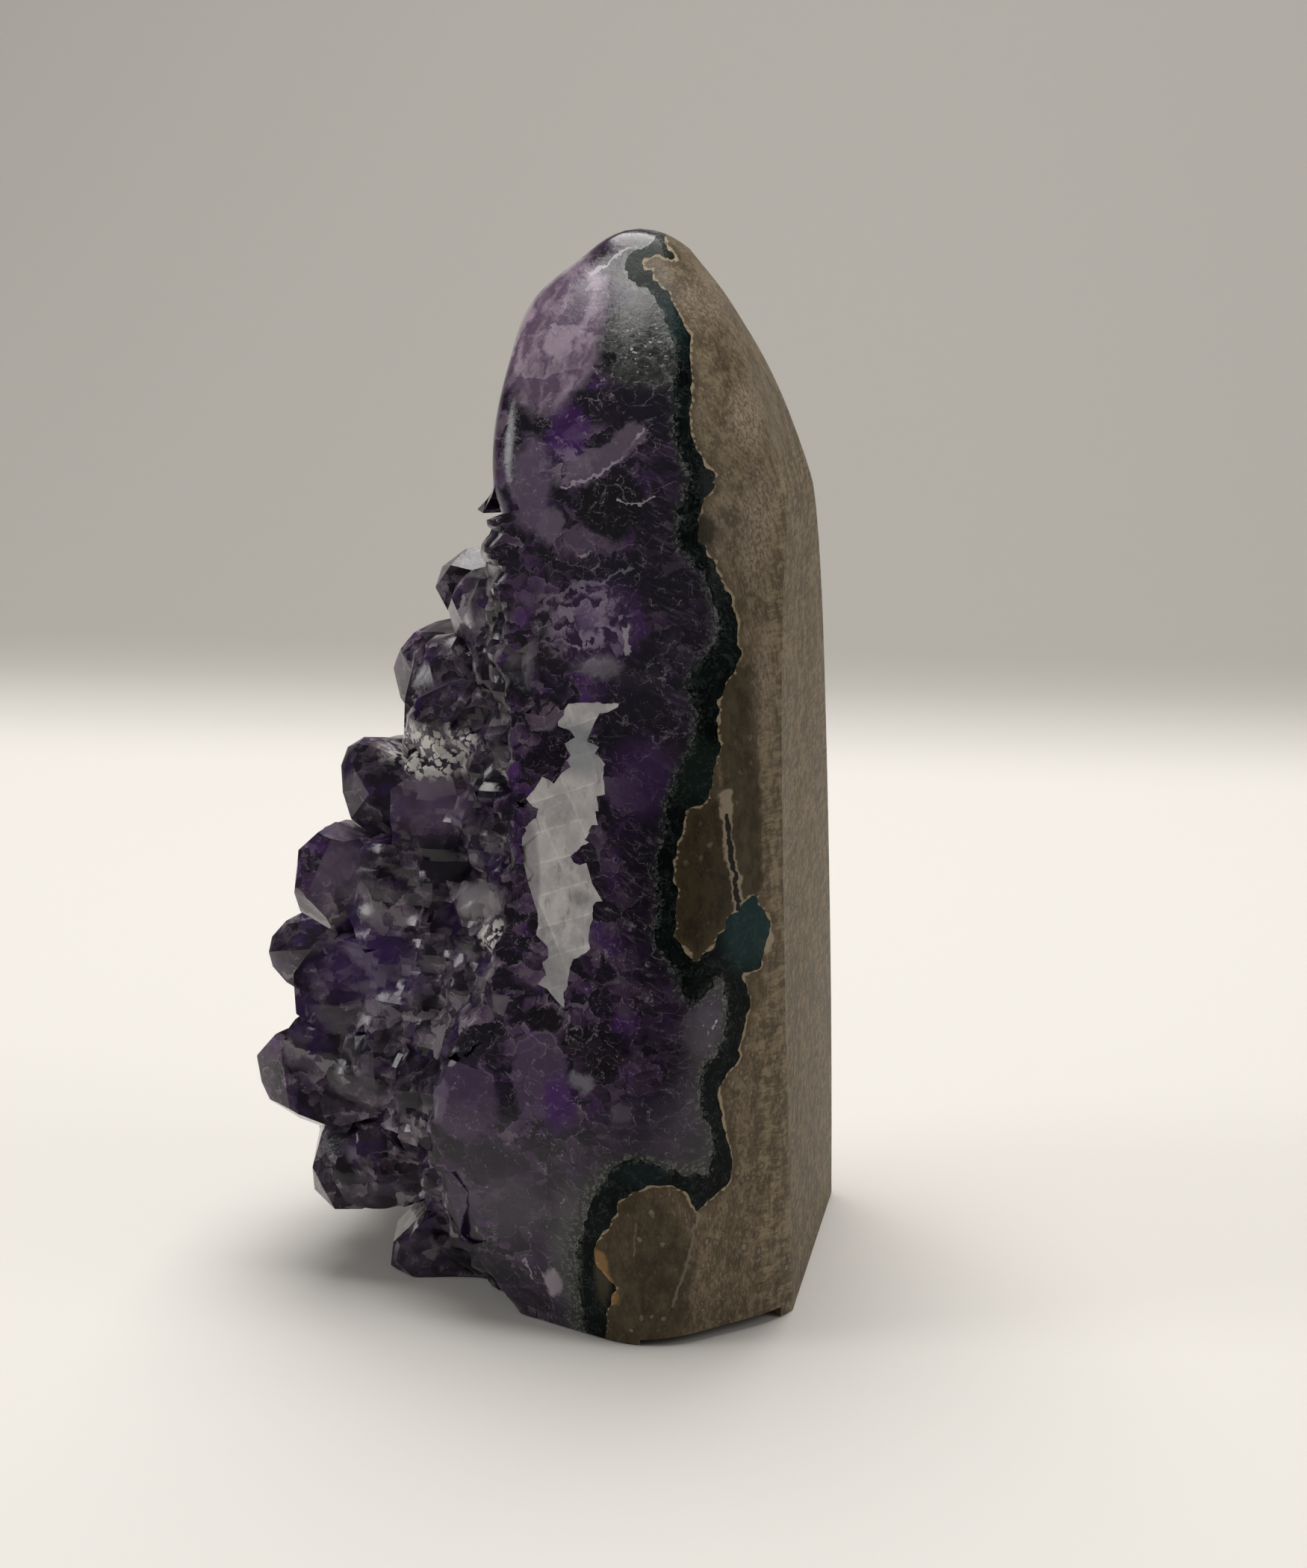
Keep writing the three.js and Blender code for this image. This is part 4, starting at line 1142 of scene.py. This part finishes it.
# %% Amethyst finish: places on its lower half
cut = with_patches(b, bent, cut, (
    ((0.115, 0.078, 0.145), 0.75, (40.6, 1.6, 36.8), (7, 4.3, 6.2), 0.12),
    (GLOW, 0.7, (41.2, 4.4, 33.5), (5, 2.3, 3.6), 0.5),
    ((0.27, 0.26, 0.28), 0.7, (42.7, 7.9, 36.9), (4, 1.9, 1.3), 0.3),
    ((0.29, 0.25, 0.31), 0.7, (44.2, 13.7, 33), (4, 1.4, 1.2), 0.3),
    ((0.10, 0.085, 0.115), 0.6, (41, 24.3, 44.5), (7, 2.6, 3.6), 0.4),
    ((0.040, 0.026, 0.056), 0.6, (44.5, 17, 32), (8, 6.5, 5), 0.5),
    ((0.105, 0.068, 0.135), 0.75, (37.3, -9.6, 32.2), (7, 5.4, 5.8), 0.12),
    ((0.21, 0.165, 0.25), 0.75, (36.1, -13.6, 31.8), (5, 1.7, 3.6), 0.2),
    (VEIL_AND_GLINT, 0.7, (36.1, -11.8, 37), (3, 1.0, 0.8), 0.3),
    ((0.013, 0.007, 0.022), 0.85, (38.7, -5.8, 24), (8, 6.2, 2.9), 0.4),
    ((0.090, 0.078, 0.100), 0.6, (39.6, -2.6, 17.6), (8, 5.4, 4.2), 0.35),
    ((0.125, 0.095, 0.150), 0.55, (36.3, -11.2, 16.6), (6, 3.2, 4.2), 0.35),
    (DARKEST, 0.7, (33, -14, 7), (9, 9, 3.4), 0.5),
    (VEIL_AND_GLINT, 0.65, (39.9, 3.4, 7), (4, 1.5, 1.9), 0.3),
    ((0.16, 0.165, 0.15), 0.4, (41, 6.5, 12), (6, 3.2, 9), 0.5)))

# %% Amethyst finish: veils, cracks and painted highlights drawn as strokes
cut = with_strokes(b, bent, cut, (
    (HAZE, 0.75, ((28.9, 5, 118.6), (28.1, 10, 121.6), (27.6, 13.2, 124)), 1.9, 0.35),
    (VEIL_AND_GLINT, 0.75, ((29.2, 3.2, 116.8), (29.2, 7.2, 117.8), (28.8, 10, 119.8), (27.8, 12.6, 122.3),
                  (27.4, 14.2, 124.6)), 0.24, 0.5),
    # Painted highlight: a crack whose bright glint is painted into the colour
    (VEIL_AND_GLINT, 0.85, ((31.7, 11.6, 115.4), (31.9, 13.4, 114.9), (31.8, 16.4, 115.9)), 0.20, 0.5),
    (HAZE, 0.8, ((31, 11.4, 118.4), (31.8, 12.4, 115)), 0.12, 0.5),
    ((0.24, 0.21, 0.27), 0.8, ((32.3, 0.3, 99.5), (32.6, 2.0, 102), (33.4, 5.6, 103.6), (34.3, 9.4, 104.8),
                               (34.5, 14, 107)), 0.30, 0.6),
    (VEIL_AND_GLINT, 0.7, ((29.4, 3.6, 110.2), (31.5, 6.2, 107.6), (31.9, 7.8, 108.4)), 0.22, 0.5),
    # Painted highlight: a small glint on the violet dome
    (VEIL_AND_GLINT, 0.75, ((37.2, 13.2, 98.8), (37.4, 13.8, 95.6)), 0.55, 0.4),
    (HAZE, 0.7, ((37.4, -2.8, 39), (39.8, 0.4, 43), (40.2, 3.4, 42.6), (40.8, 5.6, 40)), 0.24, 0.5),
    (HAZE, 0.7, ((35.6, -14.6, 34), (35.8, -12.6, 37.6), (37.2, -8.4, 38), (38.4, -5, 35)), 0.26, 0.5),
    (VEIL_AND_GLINT, 0.6, ((38.6, -1.2, 10), (39, 0.2, 7)), 0.24, 0.5),
    (VEIL_AND_GLINT, 0.6, ((38.9, 1.2, 10.2), (39.3, 2.0, 8)), 0.24, 0.5),
    # Painted highlight: a pale line along the ridge where the polished end turns over to the top
    (VEIL_AND_GLINT, 0.85, ((10, 4.1, 144.1), (8.6, 6.9, 146), (7.2, 9.4, 147.5), (6.7, 12, 147.9)), 0.32, 0.6),
    (HAZE, 0.8, ((35, -0.2, 84.2), (35.2, 2.2, 84.6), (35.6, 4.2, 85.8)), 0.35, 0.4),
    (BLACK, 0.8, ((34.6, 1.2, 87.2), (35, 2.4, 88.2)), 0.25, 0.4),
    (BLACK, 0.8, ((34.8, 2.2, 86.6), (35.2, 3.4, 88)), 0.22, 0.4)))

# %% Amethyst finish: threads, sugar, the lace along the lining and a hole's painted shade
threads = b.group(filament_tree, Place=bent, Size=4.2, Thin=0.014, Often=0.48).outputs[0]
rims = b.math("MAXIMUM", b.math("MULTIPLY", shards.outputs["Rims"], 0.6),
              b.math("MULTIPLY", chips.outputs["Rims"], 0.4))
lines = b.math("MAXIMUM", b.math("MULTIPLY", threads, 0.6), rims)
cut = b.mix(b.math("MULTIPLY", lines, b.between(mottle, 0.42, 0.62, 0, 0.75)), cut, VEIL_AND_GLINT)
top_sugar = b.group(patch_tree, Place=bent, Centre=(20.2, 13.6, 135), Size=(7, 3.4, 3.6), Soft=0.5)
low_sugar = b.group(patch_tree, Place=bent, Centre=(40, 26, 46), Size=(9, 2.4, 4), Soft=0.5)
sugar = b.math("MAXIMUM", top_sugar.outputs[0], low_sugar.outputs[0])
sugar = b.math("MAXIMUM", sugar, b.between(mottle, 0.56, 0.66, 0, 0.6))
cut = b.mix(b.math("MULTIPLY", grains.outputs["Sparks"], sugar), cut, (0.62, 0.60, 0.62))
wide = b.between(axes.outputs["Z"], 30, 22, 1.0, 2.4)
lace_share = b.between(b.math("DIVIDE", depth, wide), 1.25, 0.25)
lace = b.mix(grains.outputs["Rings"], (0.018, 0.021, 0.018), (0.170, 0.180, 0.155))
cut = b.mix(b.math("MULTIPLY", lace_share, 0.85), cut, lace)
# Painted shade: a black patch stands for the shade inside a small hole near the top
hole = b.group(patch_tree, Place=bent, Centre=(21, 8.4, 133.6), Size=(4, 0.95, 0.85), Soft=0.15).outputs[0]
cut = b.mix(hole, cut, BLACK)

# %% [markdown]
# ## Natural faces
# The grown crystals at the left of the polished end are seen from outside, so they are plainer
# than the cut: dark where one looks deep, a painted grey reflection where a face would catch the
# room, a few pale faces with painted highlights and a few lilac ones. Small crusts of tiny
# crystals glitter between them. Round pale cells paint their glints as highlights, kept to a few
# small zones, because glitter everywhere would look like frost.

# %% Amethyst finish: the natural crystals
plain = b.mix(b.between(tone, 0.40, 0.60), (0.008, 0.004, 0.012), (0.118, 0.088, 0.126))
plain = b.mix(b.between(hue, 0.50, 0.66, 0, 0.8), plain, (0.036, 0.012, 0.080))
# Painted reflection: where the tone runs high, a pale grey is mixed in for the room mirrored in a face
plain = b.mix(b.between(tone, 0.55, 0.65, 0, 0.8), plain, (0.31, 0.280, 0.300))
plain = with_patches(b, bent, plain, (
    # Painted highlights: the pale grey patches stand for light caught on single faces
    ((0.36, 0.33, 0.34), 0.85, (30, -9.8, 57.8), (12, 3.8, 2.5), 0.25),
    ((0.33, 0.30, 0.32), 0.55, (33, -5, 47), (10, 3.2, 2.2), 0.5),
    (DARKEST, 0.8, (28, -5.4, 88.5), (10, 4.2, 4.2), 0.4),
    ((0.24, 0.22, 0.23), 0.6, (30, -2.4, 96), (8, 2.6, 5.5), 0.4),
    ((0.20, 0.13, 0.24), 0.7, (24, -18, 70.4), (9, 7, 4.5), 0.5),
    ((0.045, 0.012, 0.110), 0.75, (24, -27, 46), (12, 8, 6), 0.5),
    (DARKEST, 0.7, (29, -14, 66), (8, 6, 6), 0.5),
    ((0.20, 0.15, 0.23), 0.6, (10, -34, 60), (14, 7, 6), 0.5)))
# Painted glints: pale round cells in a few zones stand for the glitter of tiny crystals
painted_glint_zones = 0.0
for centre, size in (((14, -19, 77), (16, 7.5, 3.6)), ((27, -13, 80), (9, 3.0, 2.4)),
                     ((33, -6.8, 53.6), (8, 2.8, 2.6)), ((32, -5, 76.2), (6, 1.3, 1.3))):
    zone = b.group(patch_tree, Place=bent, Centre=centre, Size=size, Soft=0.3).outputs[0]
    painted_glint_zones = b.math("MAXIMUM", painted_glint_zones, zone)
painted_glints = b.between(b.cells(bent, 1.25), 0.60, 0.46)
plain = b.mix(b.math("MULTIPLY", painted_glint_zones, painted_glints), plain, (0.96, 0.92, 0.86))
body = b.mix(b.between(polished, 0.3, 0.7), plain, cut)

# %% Amethyst finish: clear quartz under the colour
b.feed(shader.inputs["Base Color"], body)
b.feed(shader.inputs["Roughness"], b.between(mottle, 0.35, 0.75, 0.06, 0.24))
shader.inputs["IOR"].default_value = 1.544
shader.inputs["Transmission Weight"].default_value = 0.35
shader.inputs["Specular IOR Level"].default_value = 0.28
bump = b.add("ShaderNodeBump", Height=frost, Strength=0.22, Distance=0.0003)
b.feed(shader.inputs["Normal"], bump.outputs[0])
absorb = b.add("ShaderNodeVolumeAbsorption", Density=70.0)
absorb.inputs["Color"].default_value = (0.50, 0.20, 0.68, 1)
b.feed(output.inputs["Volume"], absorb.outputs[0])

# %% [markdown]
# ## Calcite
# The white crystal is milky: light goes a little way in and comes back. Its cleavage planes
# show as steps of slightly different grey whose edges all turn the same way. Straight bands
# across a leaning direction give those steps, and a second direction breaks them.

# %% Calcite finish
calcite_finish, b, shader, _ = new_material("milky calcite")
place = b.group(place_tree).outputs["Place"]
bent = b.group(warp_tree, Place=place, Size=3.0, Reach=0.12).outputs[0]
milk = b.noise(place, 2.4, 5, 0.65)
strips = b.noise(b.vector("MULTIPLY", place, (0.4, 1.0, 0.35)), 1.5, 4, 0.7)


def cleavage(direction, pitch, seed):
    """Steps across a direction: a grey for each step, and a thin line where it ends."""
    run = b.math("MULTIPLY", b.vector("DOT_PRODUCT", bent, direction), 1 / pitch)
    run = b.math("ADD", run, seed)
    step = b.add("ShaderNodeTexWhiteNoise", {"noise_dimensions": "1D"}, W=b.math("FLOOR", run))
    edge = b.between(b.math("FRACT", run), 0.0, 0.10, 1, 0)
    return step.outputs["Value"], edge


across, across_edge = cleavage((0, -0.37, 0.93), 4.1, 0.22)
down, down_edge = cleavage((0, 0.90, 0.44), 5.2, 7.7)
tone = b.math("ADD", b.math("MULTIPLY", across, 0.45), b.math("MULTIPLY", down, 0.55))
body = b.mix(tone, (0.27, 0.255, 0.26), (0.52, 0.49, 0.48))
body = b.mix(b.between(milk, 0.42, 0.64, 0, 0.55), body, (0.66, 0.63, 0.61))
body = b.mix(b.between(strips, 0.44, 0.32, 0, 0.55), body, (0.20, 0.188, 0.20))
edges = b.math("MAXIMUM", b.math("MULTIPLY", across_edge, 0.5), b.math("MULTIPLY", down_edge, 0.35))
body = b.mix(b.math("MULTIPLY", edges, b.between(milk, 0.36, 0.56)), body, (0.80, 0.78, 0.76))
body = with_patches(b, bent, body, (
    ((0.20, 0.180, 0.195), 0.7, (35, -1.2, 63.5), (20, 2.4, 8.5), 0.15),
    ((0.20, 0.215, 0.235), 0.7, (37.5, 6.4, 82.2), (20, 4.0, 3.6), 0.4),
    ((0.25, 0.245, 0.255), 0.6, (39, 4.4, 50), (20, 5, 4.4), 0.3),
    ((0.15, 0.155, 0.160), 0.6, (39.3, 7.3, 61.8), (20, 1.5, 1.1), 0.6)))
b.feed(shader.inputs["Base Color"], body)
b.feed(shader.inputs["Roughness"], b.between(milk, 0.3, 0.7, 0.26, 0.42))
shader.inputs["IOR"].default_value = 1.6
shader.inputs["Subsurface Weight"].default_value = 0.15
shader.inputs["Subsurface Radius"].default_value = (0.002, 0.002, 0.002)
bump = b.add("ShaderNodeBump", Height=b.math("ADD", tone, b.math("MULTIPLY", strips, 0.6)), Strength=0.25,
             Distance=0.0002)
b.feed(shader.inputs["Normal"], bump.outputs[0])

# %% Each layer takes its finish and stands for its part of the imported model
for piece, finish, node, slot in (
        (basalt, basalt_finish, "basalt_matrix", "basalt"),
        (lining, lining_finish, "celadonite_lining", "lining"),
        (amethyst, amethyst_finish, "amethyst_crust", "amethyst"),
        (calcite, calcite_finish, "calcite_crystal", "calcite")):
    piece.data.materials.clear()
    piece.data.materials.append(finish)
    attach(piece, "root")
    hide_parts(node)
    print(piece.name, "stands for", node)

# %% [markdown]
# ## Table, light and camera
# The stone stands on a plain pale sweep, a sheet that curves up far behind it, so no edge
# shows. One wide soft light overhead and a little behind gives the glint along the top, weaker
# ones at the sides open the shadows, and the camera stands where the photographer stood. A
# polished face mirrors whatever lies before it, and the stone in the photo mirrors a dark room.
# So the sheet looks pale to the camera everywhere, but mirrored and bounced light finds its
# fore part dark. A dark screen held before the stone would do the same in a studio.

# %% The pale sweep
SWEEP_START, SWEEP_RADIUS, SWEEP_HALF = -0.40, 0.85, 8.0
SWEEP_FRONT, SWEEP_TOP, SWEEP_DROP = 8.0, 3.0, 0.0002
WALL_SHADE = (-0.34, -0.50)        # where the paper turns to its shaded wall
DARK_FORE_PART = (0.124, 0.21)     # where it turns dark for mirrored and bounced light
profile = [(SWEEP_FRONT, 0.0), (SWEEP_START, 0.0)]
for angle in np.linspace(0, math.pi / 2, 25)[1:]:
    profile.append((SWEEP_START - SWEEP_RADIUS * math.sin(angle), SWEEP_RADIUS * (1 - math.cos(angle))))
profile.append((SWEEP_START - SWEEP_RADIUS, SWEEP_TOP))
sweep_mesh = bpy.data.meshes.new("sweep")
corners = [(x, y, z - SWEEP_DROP) for x, z in profile for y in (-SWEEP_HALF, SWEEP_HALF)]
strips = [(2 * i, 2 * i + 1, 2 * i + 3, 2 * i + 2) for i in range(len(profile) - 1)]
sweep_mesh.from_pydata(corners, [], strips)
for polygon in sweep_mesh.polygons:
    polygon.use_smooth = True
sweep = bpy.data.objects.new("sweep", sweep_mesh)
bpy.context.scene.collection.objects.link(sweep)
sweep_finish, b, shader, _ = new_material("warm white paper")
here = b.add("ShaderNodeTexCoord").outputs["Object"]
where = b.add("ShaderNodeSeparateXYZ", Vector=here).outputs["X"]
paper = b.mix(b.between(where, *WALL_SHADE), (0.66, 0.635, 0.60), (0.300, 0.287, 0.264))
unseen = b.math("SUBTRACT", 1.0, b.add("ShaderNodeLightPath").outputs["Is Camera Ray"])
dark_share = b.math("MULTIPLY", b.between(where, *DARK_FORE_PART), unseen)
b.feed(shader.inputs["Base Color"], b.mix(dark_share, paper, (0.07, 0.065, 0.06)))
shader.inputs["Roughness"].default_value = 0.6
sweep_mesh.materials.append(sweep_finish)

# %% Soft studio light
def soft_light(name, size, power, at, aim, colour=(1, 1, 1)):
    lamp = bpy.data.lights.new(name, "AREA")
    lamp.shape, lamp.size, lamp.size_y = "RECTANGLE", *size
    lamp.energy, lamp.color = power, colour
    thing = bpy.data.objects.new(name, lamp)
    thing.location = at
    thing.rotation_euler = (Vector(aim) - Vector(at)).to_track_quat("-Z", "Y").to_euler()
    bpy.context.scene.collection.objects.link(thing)


soft_light("overhead", (0.85, 1.1), 18.5, (-0.35, -0.04, 1.15), (0, 0, 0.05), (1, 0.985, 0.96))
soft_light("right_fill", (0.7, 0.7), 3.2, (0.3, 1.3, 0.8), (0, 0, 0.08))
soft_light("front_fill", (0.5, 0.5), 5.0, (0.4, -1.2, 0.7), (0, 0, 0.07))
world = bpy.data.worlds.new("soft room")
world.use_nodes = True
world.node_tree.nodes["Background"].inputs["Color"].default_value = (0.80, 0.79, 0.77, 1)
world.node_tree.nodes["Background"].inputs["Strength"].default_value = 0.26
bpy.context.scene.world = world

# %% The camera at the photo's viewing angle
CAMERA_AZIMUTH, CAMERA_PITCH = math.radians(98.2), math.radians(11.7)
CAMERA_HEIGHT, NOSE_TO_CAMERA, CAMERA_ASIDE = 186, 514, 0.4
LENS = 90.56
nose = Vector((47, 18, 0)) + SHIFT
toward = Vector((math.sin(CAMERA_AZIMUTH), -math.cos(CAMERA_AZIMUTH), 0))
sideways = Vector((math.cos(CAMERA_AZIMUTH), math.sin(CAMERA_AZIMUTH), 0))
eye = nose + toward * NOSE_TO_CAMERA + sideways * CAMERA_ASIDE
eye.z = CAMERA_HEIGHT
look = -toward * math.cos(CAMERA_PITCH) - Vector((0, 0, math.sin(CAMERA_PITCH)))
lens = bpy.data.cameras.new("camera")
lens.lens, lens.sensor_width = LENS, 36
lens.clip_start = 0.01
camera = bpy.data.objects.new("camera", lens)
camera.location = eye * MM
camera.rotation_euler = look.to_track_quat("-Z", "Y").to_euler()
bpy.context.scene.collection.objects.link(camera)
bpy.context.scene.camera = camera
bpy.context.scene.view_settings.view_transform = "Standard"
print("camera stands at", [round(v, 3) for v in camera.location])
